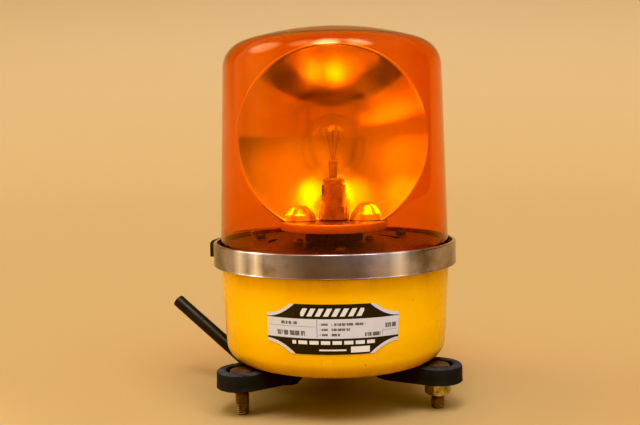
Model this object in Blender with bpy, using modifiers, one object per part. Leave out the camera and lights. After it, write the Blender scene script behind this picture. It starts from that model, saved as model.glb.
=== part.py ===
"""Amber revolving warning light on three studded rubber feet.

The light's own axis is vertical. The nameplate faces -Y. Lengths are millimetres in the
constants and metres in the scene. Angles around the axis are degrees from the front (-Y),
positive towards +X.
"""

import math

import bmesh
import bpy
from mathutils import Matrix, Vector

MM = 0.001
GAP = 0.3

# Where the light's axis stands, so that the origin is under the middle of the whole light.
AXIS_X = 1.15
AXIS_Y = -3.17

# Housing: a spun cup with a turned-out rim.
HOUSING_TOP_Z = 88.3
HOUSING_RIM_R = 71.0
HOUSING_UPPER_R = 68.72
HOUSING_LOWER_R = 66.1
HOUSING_CORNER_R = 9.9
HOUSING_UNDERSIDE_Z = 26.2
HOUSING_WALL = 1.5
RIM_THICK = 1.4

# Clamp band and globe.
BAND_R = 72.7
BAND_WALL = 1.1
BAND_BOTTOM_Z = 82.6
BAND_TOP_Z = 95.7
BAND_LIP_R = 70.6
GLOBE_BASE_R = 68.4
GLOBE_SHOULDER_R = 64.8
GLOBE_SHOULDER_Z = 197.7
GLOBE_CORNER_R = 15.6
GLOBE_TOP_Z = 221.2
GLOBE_WALL = 2.4
GLOBE_FLANGE_R = 71.2
GLOBE_FLANGE_Z = (91.0, 93.6)

# Works inside.
PLATE_Z = (92.2, 93.8)
PLATE_R = 64.0
GEAR_MODULE = 0.8
GEAR_TEETH = 42
PINION_TEETH = 12
GEAR_Z = (94.6, 101.2)
TURNTABLE_R = 31.2
TURNTABLE_TOP_Z = 107.0
REFLECTOR_R = 57.2
REFLECTOR_FOCAL = 25.0
REFLECTOR_CENTRE_Z = 155.8
REFLECTOR_VERTEX_Y = 22.1
BULB_R = 19.5
BULB_CENTRE_Z = 151.5
HOLDER_TOP_Z = 128.5
LAMP_TRAVEL = 1.0

# Feet.
FOOT_CIRCLE_R = 65.0
FOOT_INNER_R = 41.3
FOOT_HALF_WIDTH = 14.2
FOOT_Z = (16.2, 25.9)
FOOT_ANGLES = {"left": -56.0, "right": 64.0, "rear": 184.0}
FOOT_SCREW_R = 43.0
NUT_LOW_Z = 8.2
NUT_TURN = 31.6

# Latch, at the left side and behind it.
LATCH_R = 77.6
HANGER_ANGLES = (-95.0, -110.3)
PIVOT_ANGLE = -112.0
LEVER_ANGLES = (-115.0, -136.0)
BAIL_ANGLES = (-119.0, -150.0)
KEEPER_ANGLE = -146.0

# Power lead.
LEAD_R = 4.0
LEAD_DIRECTION = (-0.881, 0.475)
LEAD_SLOPE = 32.8
LEAD_BEND_R = 34.0
LEAD_BEND_END = (-59.55, 16.2, 18.65)
LEAD_STRAIGHT = 60.0


def start():
    """Empty the scene and make the two collections."""
    for old in list(bpy.data.objects):
        bpy.data.objects.remove(old, do_unlink=True)
    made = []
    for name in ("revolving_warning_light", "cutters"):
        collection = bpy.data.collections.new(name)
        bpy.context.scene.collection.children.link(collection)
        made.append(collection)
    return made


PARTS, CUTTERS = start()


def material(name, colour, roughness, metallic=0.0, transmission=0.0):
    """A Principled material."""
    mat = bpy.data.materials.new(name)
    mat.use_nodes = True
    shader = mat.node_tree.nodes["Principled BSDF"]
    shader.inputs["Base Color"].default_value = (*colour, 1.0)
    shader.inputs["Roughness"].default_value = roughness
    shader.inputs["Metallic"].default_value = metallic
    shader.inputs["Transmission Weight"].default_value = transmission
    return mat


YELLOW_PAINT = material("yellow_paint", (0.82, 0.40, 0.0), 0.35)
AMBER_LENS = material("amber_lens", (0.9, 0.22, 0.0), 0.08, 0.0, 0.9)
STAINLESS = material("stainless_steel", (0.62, 0.56, 0.52), 0.25, 1.0)
DARK_STEEL = material("dark_steel", (0.10, 0.09, 0.09), 0.45, 1.0)
RUBBER = material("black_rubber", (0.02, 0.022, 0.028), 0.7)
LABEL = material("label_film", (0.03, 0.03, 0.03), 0.4)
ZINC = material("zinc_plate", (0.55, 0.48, 0.28), 0.35, 1.0)
RUSTY = material("rusty_steel", (0.16, 0.08, 0.06), 0.7, 0.6)
MIRROR = material("mirror_reflector", (0.9, 0.9, 0.9), 0.04, 1.0)
BLACK_PLASTIC = material("black_plastic", (0.02, 0.02, 0.02), 0.4)
GLASS = material("bulb_glass", (1.0, 1.0, 1.0), 0.02, 0.0, 1.0)
BRASS = material("brass", (0.72, 0.5, 0.2), 0.3, 1.0)
TUNGSTEN = material("tungsten", (0.3, 0.3, 0.3), 0.4, 1.0)
LEAD_JACKET = material("lead_jacket", (0.012, 0.012, 0.014), 0.5)
RED_WIRE = material("red_wire", (0.5, 0.02, 0.02), 0.5)
SEAL = material("seal_rubber", (0.03, 0.03, 0.03), 0.8)


def polar(radius, angle, height):
    """A point at an angle from the front, in millimetres."""
    turn = math.radians(angle)
    return (radius * math.sin(turn), -radius * math.cos(turn), height)


def empty(name, place, parent=None, turn=0.0):
    """An empty to hang pieces on."""
    holder = bpy.data.objects.new(name, None)
    holder.location = Vector(place) * MM
    holder.rotation_euler = (0.0, 0.0, math.radians(turn))
    holder.parent = parent
    PARTS.objects.link(holder)
    return holder


LIGHT = empty("light_axis", (AXIS_X, AXIS_Y, 0.0))
ROTOR = empty("rotor_axis", (0.0, 0.0, 0.0), LIGHT)
GLOBE_UNIT = empty("globe_unit", (0.0, 0.0, 0.0), LIGHT)
PINION_AT = (0.0, GEAR_MODULE * (GEAR_TEETH + PINION_TEETH) / 2, 0.0)
PINION_AXIS = empty("pinion_axis", PINION_AT, LIGHT)
LEVER_AXIS = empty("lever_axis", polar(LATCH_R, PIVOT_ANGLE, 0.0), GLOBE_UNIT)
BAIL_AXIS = empty("bail_axis", polar(LATCH_R, BAIL_ANGLES[0], 0.0), GLOBE_UNIT)
LAMP = empty("lamp_axis", (0.0, 0.0, 0.0), LIGHT)


def finish(obj, mat, parent, collection=None):
    """Link an object, give it its material and hang it on its parent."""
    for held in list(obj.users_collection):
        held.objects.unlink(obj)
    (collection or PARTS).objects.link(obj)
    if mat is not None:
        obj.data.materials.clear()
        obj.data.materials.append(mat)
    obj.parent = parent
    return obj


def smooth(obj):
    """Shade a mesh smooth, with its corners kept sharp."""
    obj.data.shade_smooth()
    obj.data.set_sharp_from_angle(angle=math.radians(35))


def turned(name, profile, mat, parent, steps=48, closed=True, sweep=360.0):
    """Turn a profile of (radius, height) points about the vertical axis."""
    mesh = bpy.data.meshes.new(name)
    points = [(r * MM, 0.0, z * MM) for r, z in profile]
    edges = [(i, i + 1) for i in range(len(points) - 1)]
    if closed:
        edges.append((len(points) - 1, 0))
    mesh.from_pydata(points, edges, [])
    obj = bpy.data.objects.new(name, mesh)
    finish(obj, mat, parent)
    screw = obj.modifiers.new("turn", "SCREW")
    screw.axis = "Z"
    screw.angle = math.radians(sweep)
    screw.steps = steps
    screw.render_steps = steps
    screw.use_merge_vertices = True
    screw.merge_threshold = 0.00001
    screw.use_smooth_shade = True
    return obj


def box(name, size, centre, mat, parent, turn=0.0, collection=None):
    """A box of a size in millimetres about its centre."""
    bpy.ops.mesh.primitive_cube_add(size=1.0)
    obj = bpy.context.object
    obj.name = name
    obj.data.transform(Matrix.Diagonal((size[0] * MM, size[1] * MM, size[2] * MM, 1.0)))
    obj.location = Vector(centre) * MM
    obj.rotation_euler = (0.0, 0.0, math.radians(turn))
    return finish(obj, mat, parent, collection)


def rod(name, radius, span, place, mat, parent, sides=24, axis="Z", collection=None):
    """A cylinder from span[0] to span[1] along an axis through a place."""
    bpy.ops.mesh.primitive_cylinder_add(
        vertices=sides, radius=radius * MM, depth=(span[1] - span[0]) * MM
    )
    obj = bpy.context.object
    obj.name = name
    obj.data.transform(Matrix.Translation((0.0, 0.0, (span[0] + span[1]) / 2 * MM)))
    if axis == "Y":
        obj.data.transform(Matrix.Rotation(math.radians(-90), 4, "X"))
    obj.location = Vector(place) * MM
    finish(obj, mat, parent, collection)
    smooth(obj)
    return obj


def as_mesh(obj, mat):
    """Replace a curve object by the mesh it makes, with its caps welded."""
    bpy.context.view_layer.update()
    shape = obj.evaluated_get(bpy.context.evaluated_depsgraph_get())
    mesh = bpy.data.meshes.new_from_object(shape)
    welded = bmesh.new()
    welded.from_mesh(mesh)
    bmesh.ops.remove_doubles(welded, verts=welded.verts, dist=0.000001)
    welded.to_mesh(mesh)
    welded.free()
    name, parent, place, turn = obj.name, obj.parent, obj.location.copy(), obj.rotation_euler.copy()
    old = obj.data
    bpy.data.objects.remove(obj, do_unlink=True)
    bpy.data.curves.remove(old)
    made = bpy.data.objects.new(name, mesh)
    mesh.name = name
    made.location = place
    made.rotation_euler = turn
    return finish(made, mat, parent)


def slab(name, outlines, span, mat, parent, place=(0.0, 0.0, 0.0), turn=0.0):
    """A flat piece cut to one outline, with holes from the outlines after it."""
    curve = bpy.data.curves.new(name, "CURVE")
    curve.dimensions = "2D"
    curve.fill_mode = "BOTH"
    curve.render_resolution_u = 0
    curve.extrude = (span[1] - span[0]) / 2 * MM
    for outline in outlines:
        spline = curve.splines.new("POLY")
        spline.points.add(len(outline) - 1)
        spline.use_cyclic_u = True
        for point, (x, y) in zip(spline.points, outline):
            point.co = (x * MM, y * MM, 0.0, 1.0)
    obj = bpy.data.objects.new(name, curve)
    obj.location = Vector((place[0], place[1], (span[0] + span[1]) / 2)) * MM
    obj.rotation_euler = (0.0, 0.0, math.radians(turn))
    finish(obj, mat, parent)
    return as_mesh(obj, mat)


def wire(name, points, radius, mat, parent, resolution=2):
    """A round wire through points in millimetres."""
    curve = bpy.data.curves.new(name, "CURVE")
    curve.dimensions = "3D"
    curve.bevel_depth = radius * MM
    curve.bevel_resolution = resolution
    curve.render_resolution_u = 0
    curve.use_fill_caps = True
    spline = curve.splines.new("POLY")
    spline.points.add(len(points) - 1)
    for point, place in zip(spline.points, points):
        point.co = (*(Vector(place) * MM), 1.0)
    obj = bpy.data.objects.new(name, curve)
    return finish(obj, mat, parent)


def combine(obj, tool, operation):
    """Join another shape to an object, or cut it away."""
    tool.hide_render = True
    tool.display_type = "WIRE"
    if tool.name not in CUTTERS.objects:
        finish(tool, None, tool.parent, CUTTERS)
    change = obj.modifiers.new(tool.name, "BOOLEAN")
    change.operation = operation
    change.object = tool
    change.solver = "EXACT"


def cut(obj, tool):
    combine(obj, tool, "DIFFERENCE")


def join(obj, tool):
    combine(obj, tool, "UNION")


def circle(radius, sides, centre=(0.0, 0.0), start_at=0.0):
    """Points round a circle."""
    points = []
    for i in range(sides):
        turn = math.radians(start_at) + 2 * math.pi * i / sides
        points.append((centre[0] + radius * math.cos(turn), centre[1] + radius * math.sin(turn)))
    return points


def arc(centre, radius, begin, end, count):
    """Points along an arc, angles in degrees from +X."""
    points = []
    for i in range(count):
        turn = math.radians(begin + (end - begin) * i / (count - 1))
        points.append((centre[0] + radius * math.cos(turn), centre[1] + radius * math.sin(turn)))
    return points


def stadium(start_x, end_x, half_width, count=9):
    """An outline with round ends between two centres on the X axis."""
    return arc((end_x, 0.0), half_width, -90, 90, count) + arc(
        (start_x, 0.0), half_width, 90, 270, count
    )


# ---------------------------------------------------------------- housing


def make_housing():
    """The spun cup, its holes and the seal on its rim."""
    low = HOUSING_UNDERSIDE_Z
    corner = (HOUSING_LOWER_R - HOUSING_CORNER_R, low + HOUSING_CORNER_R)
    inner_corner = HOUSING_CORNER_R - HOUSING_WALL
    profile = [(0.0, low + HOUSING_WALL)]
    profile += arc(corner, inner_corner, -90, 0, 4)
    profile += [
        (HOUSING_UPPER_R - HOUSING_WALL, HOUSING_TOP_Z - RIM_THICK),
        (HOUSING_UPPER_R - HOUSING_WALL, HOUSING_TOP_Z),
        (HOUSING_RIM_R, HOUSING_TOP_Z),
        (HOUSING_RIM_R, HOUSING_TOP_Z - RIM_THICK),
        (HOUSING_UPPER_R, HOUSING_TOP_Z - RIM_THICK),
    ]
    profile += arc(corner, HOUSING_CORNER_R, 0, -90, 6)
    profile += [(0.0, low)]
    housing = turned("housing", profile, YELLOW_PAINT, LIGHT, 48, closed=False)
    through = (low - 3, low + HOUSING_WALL + 3)
    for side, angle in FOOT_ANGLES.items():
        place = polar(FOOT_SCREW_R, angle, 0.0)
        cut(housing, rod("cut_foot_screw_" + side, 2.3, through, place, None, LIGHT, 12))
    cut(housing, rod("cut_lead_entry", 4.0, through, GLAND_AT, None, LIGHT, 16))
    for number, angle in enumerate((4.0, 124.0, 244.0)):
        place = polar(30.0, angle, 0.0)
        cut(housing, rod(f"cut_drain_{number}", 2.0, through, place, None, LIGHT, 12))
    seal = [(66.6, HOUSING_TOP_Z + GAP), (66.6, 90.7), (71.0, 90.7), (71.0, HOUSING_TOP_Z + GAP)]
    turned("globe_seal", seal, SEAL, LIGHT, 36)


GLAND_AT = (-30.5, 0.6, 0.0)


# ---------------------------------------------------------------- nameplate


def make_nameplate():
    """A curved plate on the tapering wall, with hollow corners."""
    slope = (HOUSING_UPPER_R - HOUSING_LOWER_R) / (HOUSING_TOP_Z - RIM_THICK - 36.1)

    def wall(height):
        return HOUSING_LOWER_R + (height - 36.1) * slope + 0.12

    low, high = 41.6, 68.7
    middle, reach = -1.45, 31.45
    # The sweep runs from the left end of the plate to its right end.
    plate = turned(
        "nameplate", [(wall(high), high), (wall(low), low)], LABEL, LIGHT, 24, False, 2 * reach
    )
    plate.rotation_euler = (0.0, 0.0, math.radians(-90 + middle - reach))
    skin = plate.modifiers.new("thickness", "SOLIDIFY")
    skin.thickness = 0.5 * MM
    skin.offset = 1.0
    for side in (-1, 1):
        for end, height in (("lower", low), ("upper", high)):
            x = 67.6 * math.sin(math.radians(middle + side * reach))
            name = f"cut_nameplate_{end}_{'left' if side < 0 else 'right'}"
            tool = rod(name, 1.0, (-75.0, -45.0), (x, 0.0, height), None, LIGHT, 24, "Y")
            tool.data.transform(Matrix.Diagonal((14.3, 1.0, 5.7, 1.0)))
            cut(plate, tool)


# ---------------------------------------------------------------- globe unit


def make_globe():
    """The amber globe with its flange, open below."""
    corner = (GLOBE_SHOULDER_R - GLOBE_CORNER_R, GLOBE_SHOULDER_Z)

    def dome(top, corner_r, count):
        """Crown and corner from the axis down to the shoulder."""
        edge = arc(corner, corner_r, 75, 0, count)
        rim_r, rim_z = edge[0]
        crown = []
        for i in range(count):
            r = rim_r * i / count
            crown.append((r, top - (top - rim_z) * (r / rim_r) ** 2))
        return crown + edge

    outer = dome(GLOBE_TOP_Z, GLOBE_CORNER_R, 5)
    inner = dome(GLOBE_TOP_Z - GLOBE_WALL, GLOBE_CORNER_R - GLOBE_WALL, 4)
    low, high = GLOBE_FLANGE_Z
    flange = [
        (GLOBE_BASE_R, high),
        (GLOBE_FLANGE_R, high),
        (GLOBE_FLANGE_R, low),
        (GLOBE_BASE_R - GLOBE_WALL, low),
    ]
    turned("globe", outer + flange + inner[::-1], AMBER_LENS, GLOBE_UNIT, 48, closed=False)


def make_band():
    """The clamp band: a split ring with its top edge turned in."""
    inside = BAND_R - BAND_WALL
    top, low = BAND_TOP_Z, BAND_BOTTOM_Z
    profile = [
        (BAND_LIP_R, top),
        (BAND_R - 1.4, top),
        (BAND_R - 0.4, top - 0.4),
        (BAND_R, top - 1.4),
        (BAND_R, low + 0.5),
        (BAND_R - 0.4, low),
        (inside, low),
        (inside, top - 1.5),
        (inside - 0.4, top - BAND_WALL),
        (BAND_LIP_R, top - BAND_WALL),
    ]
    band = turned("clamp_band", profile, STAINLESS, GLOBE_UNIT, 48)
    place = polar(BAND_R, -129.0, (top + low) / 2)
    cut(band, box("cut_band_split", (4.0, 12.0, 20.0), place, None, GLOBE_UNIT, -129.0))


def shell_arc(name, profile, angles, thick, mat, parent, steps):
    """A curved strip: an open profile swept between two angles, thickened."""
    strip = turned(name, profile, mat, parent, steps, False, abs(angles[1] - angles[0]))
    strip.rotation_euler = (0.0, 0.0, math.radians(-90 + min(angles)))
    skin = strip.modifiers.new("thickness", "SOLIDIFY")
    skin.thickness = thick * MM
    skin.offset = 0.0
    skin.use_even_offset = True
    return strip


def make_latch():
    """The hanger on the band's shoulder, the lever, the wire bail and the keeper."""
    middle_r, thick = 75.9, 2.2
    path = [(BAND_R + GAP, 94.2)] + arc((middle_r - 2.0, 92.2), 2.0, 90, 0, 4) + [(middle_r, 84.8)]
    hanger = shell_arc("latch_hanger", path, HANGER_ANGLES, thick, DARK_STEEL, GLOBE_UNIT, 5)
    pivot = polar(LATCH_R, PIVOT_ANGLE, 0.0)
    join(hanger, rod("join_pivot_barrel", 1.6, (87.0, 92.0), pivot, None, GLOBE_UNIT, 14))
    arm = polar(75.7, PIVOT_ANGLE + 1.0, 89.5)
    join(hanger, box("join_pivot_arm", (2.2, 3.2, 4.6), arm, None, GLOBE_UNIT, PIVOT_ANGLE))

    lever = shell_arc(
        "latch_lever", [(LATCH_R, 93.8), (LATCH_R, 85.2)], LEVER_ANGLES, 1.2, STAINLESS, GLOBE_UNIT, 6
    )
    # The lever's ears run from the pivot into the lever's plate.
    start_at = Vector(pivot)
    end_at = Vector(polar(LATCH_R, LEVER_ANGLES[0] - 1.5, 0.0))
    run = end_at - start_at
    heading = math.degrees(math.atan2(run.y, run.x))
    for name, span in (("upper", (92.4, 93.5)), ("lower", (85.5, 86.6))):
        outline = stadium(0.0, run.length, 1.6, 6)
        ear = slab("join_ear_" + name, [outline], span, None, GLOBE_UNIT, pivot, heading)
        join(lever, ear)

    top, low = 95.4, 83.6
    tip = polar(LATCH_R, BAIL_ANGLES[0], 0.0)
    upper = [(tip[0], tip[1], 94.1), (tip[0], tip[1], top)]
    lower = [(tip[0], tip[1], low), (tip[0], tip[1], 84.9)]
    path = []
    for i in range(1, 7):
        share = i / 6
        angle = BAIL_ANGLES[0] + (BAIL_ANGLES[1] - BAIL_ANGLES[0]) * share
        path.append(polar(LATCH_R - 2.4 * share, angle, 0.0))
    over = [(x, y, top) for x, y, _ in path]
    under = [(x, y, low) for x, y, _ in reversed(path)]
    wire("latch_bail", upper + over + under + lower, 0.7, STAINLESS, GLOBE_UNIT, 1)

    keeper = box(
        "latch_keeper", (5.6, 1.0, 6.0), polar(73.6, KEEPER_ANGLE + 2.0, 89.5), STAINLESS,
        GLOBE_UNIT, KEEPER_ANGLE + 2.0
    )
    tab = polar(74.6, KEEPER_ANGLE, 89.5)
    join(keeper, box("join_keeper_tab", (1.2, 2.9, 6.0), tab, None, GLOBE_UNIT, KEEPER_ANGLE))


# ---------------------------------------------------------------- works


def ring_sector(radius, half_width, begin, end, count=7):
    """The outline of a curved slot."""
    return arc((0.0, 0.0), radius + half_width, begin, end, count) + arc(
        (0.0, 0.0), radius - half_width, end, begin, count
    )


POST_ANGLES = {"front": 4.0, "right": 124.0, "left": 244.0}
POST_R = 52.0
BRACKET_TURN = 14.0


def screw(name, head_r, head_h, shank_r, reach, seat, place, mat, parent, flip=False):
    """A round-headed screw with its head above a seat, or below it."""
    sign = -1.0 if flip else 1.0
    profile = [
        (0.0, seat + sign * head_h),
        (head_r * 0.75, seat + sign * head_h),
        (head_r, seat + sign * head_h * 0.5),
        (head_r, seat),
        (shank_r, seat),
        (shank_r, seat - sign * reach),
        (0.0, seat - sign * reach),
    ]
    if flip:
        profile.reverse()
    made = turned(name, profile, mat, parent, 16, closed=False)
    made.location = Vector((place[0], place[1], 0.0)) * MM
    return made


def make_chassis():
    """The plate that closes the housing, its posts and its screws."""
    low, high = PLATE_Z
    holes = [circle(6.0, 24)]
    holes.append(circle(2.4, 16, PINION_AT[:2]))
    holes.append(ring_sector(40.0, 2.0, 8, 44))
    holes.append(ring_sector(38.5, 2.0, 160, 192))
    for angle in POST_ANGLES.values():
        holes.append(circle(2.0, 12, polar(POST_R, angle, 0.0)[:2]))
    for side in (-1, 1):
        holes.append(circle(1.8, 12, bracket_screw_place(side)))
    slab("chassis_plate", [circle(PLATE_R, 48)] + holes, PLATE_Z, DARK_STEEL, LIGHT)
    for name, angle in POST_ANGLES.items():
        place = polar(POST_R, angle, 0.0)
        floor = HOUSING_UNDERSIDE_Z + HOUSING_WALL + GAP
        tube = [(2.1, low - GAP), (3.6, low - GAP), (3.6, floor), (2.1, floor)]
        post = turned("chassis_post_" + name, tube, ZINC, LIGHT, 20)
        post.location = Vector((place[0], place[1], 0.0)) * MM
        screw("chassis_screw_" + name, 3.2, 2.2, 1.7, 12.0, high + GAP, place, ZINC, LIGHT)


def bracket_screw_place(side):
    """Where the spindle's two screws pass the plate."""
    turn = math.radians(BRACKET_TURN)
    return (side * 22.4 * math.cos(turn), side * 22.4 * math.sin(turn))


def make_spindle():
    """The fixed hollow spindle with its foot bracket, and its screws."""
    low, high = PLATE_Z
    tube = [(3.4, 84.0), (3.4, 107.3), (5.6, 107.3), (5.6, 84.0)]
    spindle = turned("spindle", tube, DARK_STEEL, LIGHT, 28)
    holes = [circle(1.8, 12, (-22.4, 0.0)), circle(1.8, 12, (22.4, 0.0)), circle(4.5, 24)]
    bracket = slab(
        "join_spindle_bracket", [stadium(-22.4, 22.4, 6.5, 7)] + holes, (low - GAP - 1.6, low - GAP),
        None, LIGHT, (0.0, 0.0, 0.0), BRACKET_TURN
    )
    join(spindle, bracket)
    for name, side in (("left", -1), ("right", 1)):
        place = bracket_screw_place(side)
        screw("spindle_screw_" + name, 2.7, 1.9, 1.5, 6.0, high + GAP, place, ZINC, LIGHT)


def gear_outline(teeth, phase):
    """Trapezoid teeth with backlash, one of them centred on the phase angle."""
    pitch_r = GEAR_MODULE * teeth / 2
    root_r, tip_r = pitch_r - 0.85, pitch_r + 0.65
    step = 360.0 / teeth
    root_half = math.degrees(0.72 / root_r)
    tip_half = math.degrees(0.24 / tip_r)
    points = []
    for i in range(teeth):
        centre = phase + i * step
        for radius, offset in (
            (root_r, -root_half), (tip_r, -tip_half), (tip_r, tip_half), (root_r, root_half)
        ):
            turn = math.radians(centre + offset)
            points.append((radius * math.cos(turn), radius * math.sin(turn)))
    return points


def make_drive():
    """Motor, gearbox, pinion and the large gear that turns the reflector."""
    low, _ = PLATE_Z
    gear = slab(
        "drive_gear", [gear_outline(GEAR_TEETH, 90.0), circle(6.0, 28)], GEAR_Z, BLACK_PLASTIC, ROTOR
    )
    bore, top = 6.0, TURNTABLE_TOP_Z - 1.4 - GAP
    collar = [(bore, GEAR_Z[1] - 1.0), (bore, top), (10.0, top), (10.0, GEAR_Z[1] - 1.0)]
    join(gear, turned("join_gear_collar", collar, None, ROTOR, 28))
    outline = gear_outline(PINION_TEETH, -75.0)
    pinion = slab("motor_pinion", [outline], (95.0, 100.6), BRASS, PINION_AXIS)
    join(pinion, rod("join_pinion_shaft", 1.6, (90.2, 96.0), (0, 0, 0), None, PINION_AXIS, 16))
    gearbox = box("gearbox", (36.0, 26.0, 14.0), (0.0, 30.6, 82.9), DARK_STEEL, LIGHT)
    bevel(gearbox, 1.5, 2)
    motor = rod("motor", 13.0, (38.0, 75.6), (0.0, 34.0, 0.0), STAINLESS, LIGHT, 32)
    bevel(motor, 1.2, 2)


def bevel(obj, width, segments):
    """Round an object's sharp edges."""
    rounding = obj.modifiers.new("rounding", "BEVEL")
    rounding.width = width * MM
    rounding.segments = segments
    rounding.limit_method = "ANGLE"
    rounding.angle_limit = math.radians(40)


def make_turntable():
    """The turntable, the mirror, and what holds the mirror up."""
    top = TURNTABLE_TOP_Z
    skirt = [
        (6.2, top - 1.4),
        (6.2, top),
        (TURNTABLE_R - 0.8, top),
        (TURNTABLE_R, top - 0.8),
        (TURNTABLE_R - 2.4, top - 4.8),
        (TURNTABLE_R - 3.8, top - 4.8),
        (TURNTABLE_R - 1.8, top - 1.4),
    ]
    table = turned("turntable", skirt, ZINC, ROTOR, 36)
    for name, side in (("left", -1), ("right", 1)):
        place = (side * 4.6, 17.6, 0.0)
        tool = rod("cut_table_" + name, 1.7, (top - 4, top + 2), place, None, ROTOR, 12)
        cut(table, tool)

    edge = REFLECTOR_R
    focal = REFLECTOR_FOCAL
    inner = [(r, r * r / (4 * focal)) for r in [edge * 0.975 * i / 7 for i in range(8)]]
    outer = [(r, r * r / (4 * focal) - 1.3) for r in [edge * 0.965 * i / 7 for i in range(7, -1, -1)]]
    lip = [(edge, inner[-1][1] + 0.3), (edge, inner[-1][1] - 0.9)]
    dish = turned("reflector", inner + lip + outer, MIRROR, ROTOR, 44, closed=False)
    dish.rotation_euler = (math.radians(90), 0.0, 0.0)
    dish.location = Vector((0.0, REFLECTOR_VERTEX_Y, REFLECTOR_CENTRE_Z)) * MM
    floor = top + GAP
    below = box("cut_dish_floor", (140.0, 120.0, 60.0), (0.0, 0.0, floor - 30.0), None, ROTOR)
    cut(dish, below)
    cut(dish, rod("cut_dish_lamp_slot", 10.5, (90.0, 124.0), (0.0, 0.0, 0.0), None, ROTOR, 32))
    centre = (0.0, 0.0, REFLECTOR_CENTRE_Z)
    cut(dish, rod("cut_dish_screw", 1.8, (15.0, 30.0), centre, None, ROTOR, 12, "Y"))

    strap = box("reflector_bracket", (16.0, 1.2, 55.0), (0.0, 24.4, floor + 27.5), ZINC, ROTOR)
    join(strap, box("join_strap_foot", (16.0, 12.0, 1.2), (0.0, 19.0, floor + 0.6), None, ROTOR))
    cut(strap, rod("cut_strap_screw", 1.8, (15.0, 30.0), centre, None, ROTOR, 12, "Y"))
    for name, side in (("left", -1), ("right", 1)):
        place = (side * 4.6, 17.6, 0.0)
        cut(strap, rod("cut_strap_" + name, 1.7, (top - 2, top + 4), place, None, ROTOR, 12))
        seat = floor + 1.2 + GAP
        screw("bracket_screw_" + name, 2.4, 1.6, 1.3, 4.2, seat, place, ZINC, ROTOR)
    fixing = screw("reflector_screw", 2.8, 1.8, 1.4, 4.4, 0.0, (0.0, 0.0), ZINC, ROTOR)
    fixing.rotation_euler = (math.radians(-90), 0.0, 0.0)
    fixing.location = Vector((0.0, 25.3, REFLECTOR_CENTRE_Z)) * MM


# ---------------------------------------------------------------- lamp


def make_lampholder():
    """The bayonet sleeve with its two hooked slots."""
    top = HOLDER_TOP_Z
    profile = [
        (3.0, 107.6),
        (3.0, 109.0),
        (6.5, 109.0),
        (6.5, top),
        (7.3, top),
        (7.3, 115.5),
        (8.6, 115.5),
        (8.6, 107.6),
    ]
    holder = turned("lampholder", profile, ZINC, LIGHT, 32)
    for name, side in (("right", 0.0), ("left", 180.0)):
        for part, angle, width, span in (
            ("hook", side + 12.5, 5.6, (119.0, 123.4)),
            ("entry", side + 25.0, 2.8, (121.0, top + 1.0)),
        ):
            turn = math.radians(angle)
            middle = (7.0 * math.cos(turn), 7.0 * math.sin(turn), (span[0] + span[1]) / 2)
            size = (3.0, width, span[1] - span[0])
            cut(holder, box(f"cut_{part}_{name}", size, middle, None, LIGHT, angle))
    cut(holder, box("cut_holder_notch", (3.6, 3.4, 6.6), (5.4, -7.9, 112.0), None, LIGHT))


def make_bulb():
    """The lamp and the sprung contact below it."""
    collar = HOLDER_TOP_Z + LAMP_TRAVEL + GAP
    cap = [
        (0.0, 116.0),
        (5.5, 116.0),
        (5.5, 132.4),
        (7.0, 132.4),
        (7.0, collar),
        (6.2, collar),
        (6.2, 114.6),
        (0.0, 114.6),
    ]
    cap = turned("bulb_cap", cap, BRASS, LAMP, 24, closed=False)
    for name, span in (("right", (5.8, 7.9)), ("left", (-7.9, -5.8))):
        pin = rod("join_pin_" + name, 1.0, span, (0.0, 0.0, 122.0), None, LAMP, 12, "Y")
        pin.rotation_euler = (0.0, 0.0, math.radians(-90))
        join(cap, pin)
    neck_r, wall = 5.2, 0.8
    centre = (0.0, BULB_CENTRE_Z)
    low = -math.degrees(math.acos(neck_r / BULB_R))
    outer = arc(centre, BULB_R, 90, low, 9)
    outer[0] = (0.0, BULB_CENTRE_Z + BULB_R)
    inner_r = BULB_R - wall
    low = -math.degrees(math.acos((neck_r - wall) / inner_r))
    inner = arc(centre, inner_r, low, 90, 9)
    inner[-1] = (0.0, BULB_CENTRE_Z + inner_r)
    profile = outer + [(neck_r, 119.0), (neck_r - wall, 119.0)] + inner
    turned("bulb_glass", profile, GLASS, LAMP, 28, closed=False)
    stem = [
        (0.0, 141.0),
        (1.6, 141.0),
        (2.4, 138.0),
        (2.4, 124.0),
        (3.9, 119.6),
        (0.0, 119.6),
    ]
    turned("bulb_stem", stem, GLASS, LAMP, 16, closed=False)
    half, height = 7.5, 163.2
    points = [(-1.2, 0.0, 141.3), (-half, 0.0, height)]
    turns, sides = 9, 6
    for i in range(1, turns * sides):
        turn = 2 * math.pi * i / sides
        along = -half + 2 * half * i / (turns * sides)
        points.append((along, 0.75 * math.sin(turn), height + 0.75 * (1 - math.cos(turn))))
    points += [(half, 0.0, height), (1.2, 0.0, 141.3)]
    wire("bulb_filament", points, 0.22, TUNGSTEN, LAMP, 0)
    rod("contact_plate", 5.9, (113.1, 114.3), (0.0, 0.0, 0.0), BLACK_PLASTIC, LAMP, 24)
    turns, sides = 2, 10
    points = []
    for i in range(turns * sides + 1):
        turn = 2 * math.pi * i / sides
        height = 111.2 + 1.2 * i / (turns * sides)
        points.append((3.8 * math.cos(turn), 3.8 * math.sin(turn), height))
    wire("contact_spring", points, 0.25, BRASS, LAMP, 1)


# ---------------------------------------------------------------- wiring and lead


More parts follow.
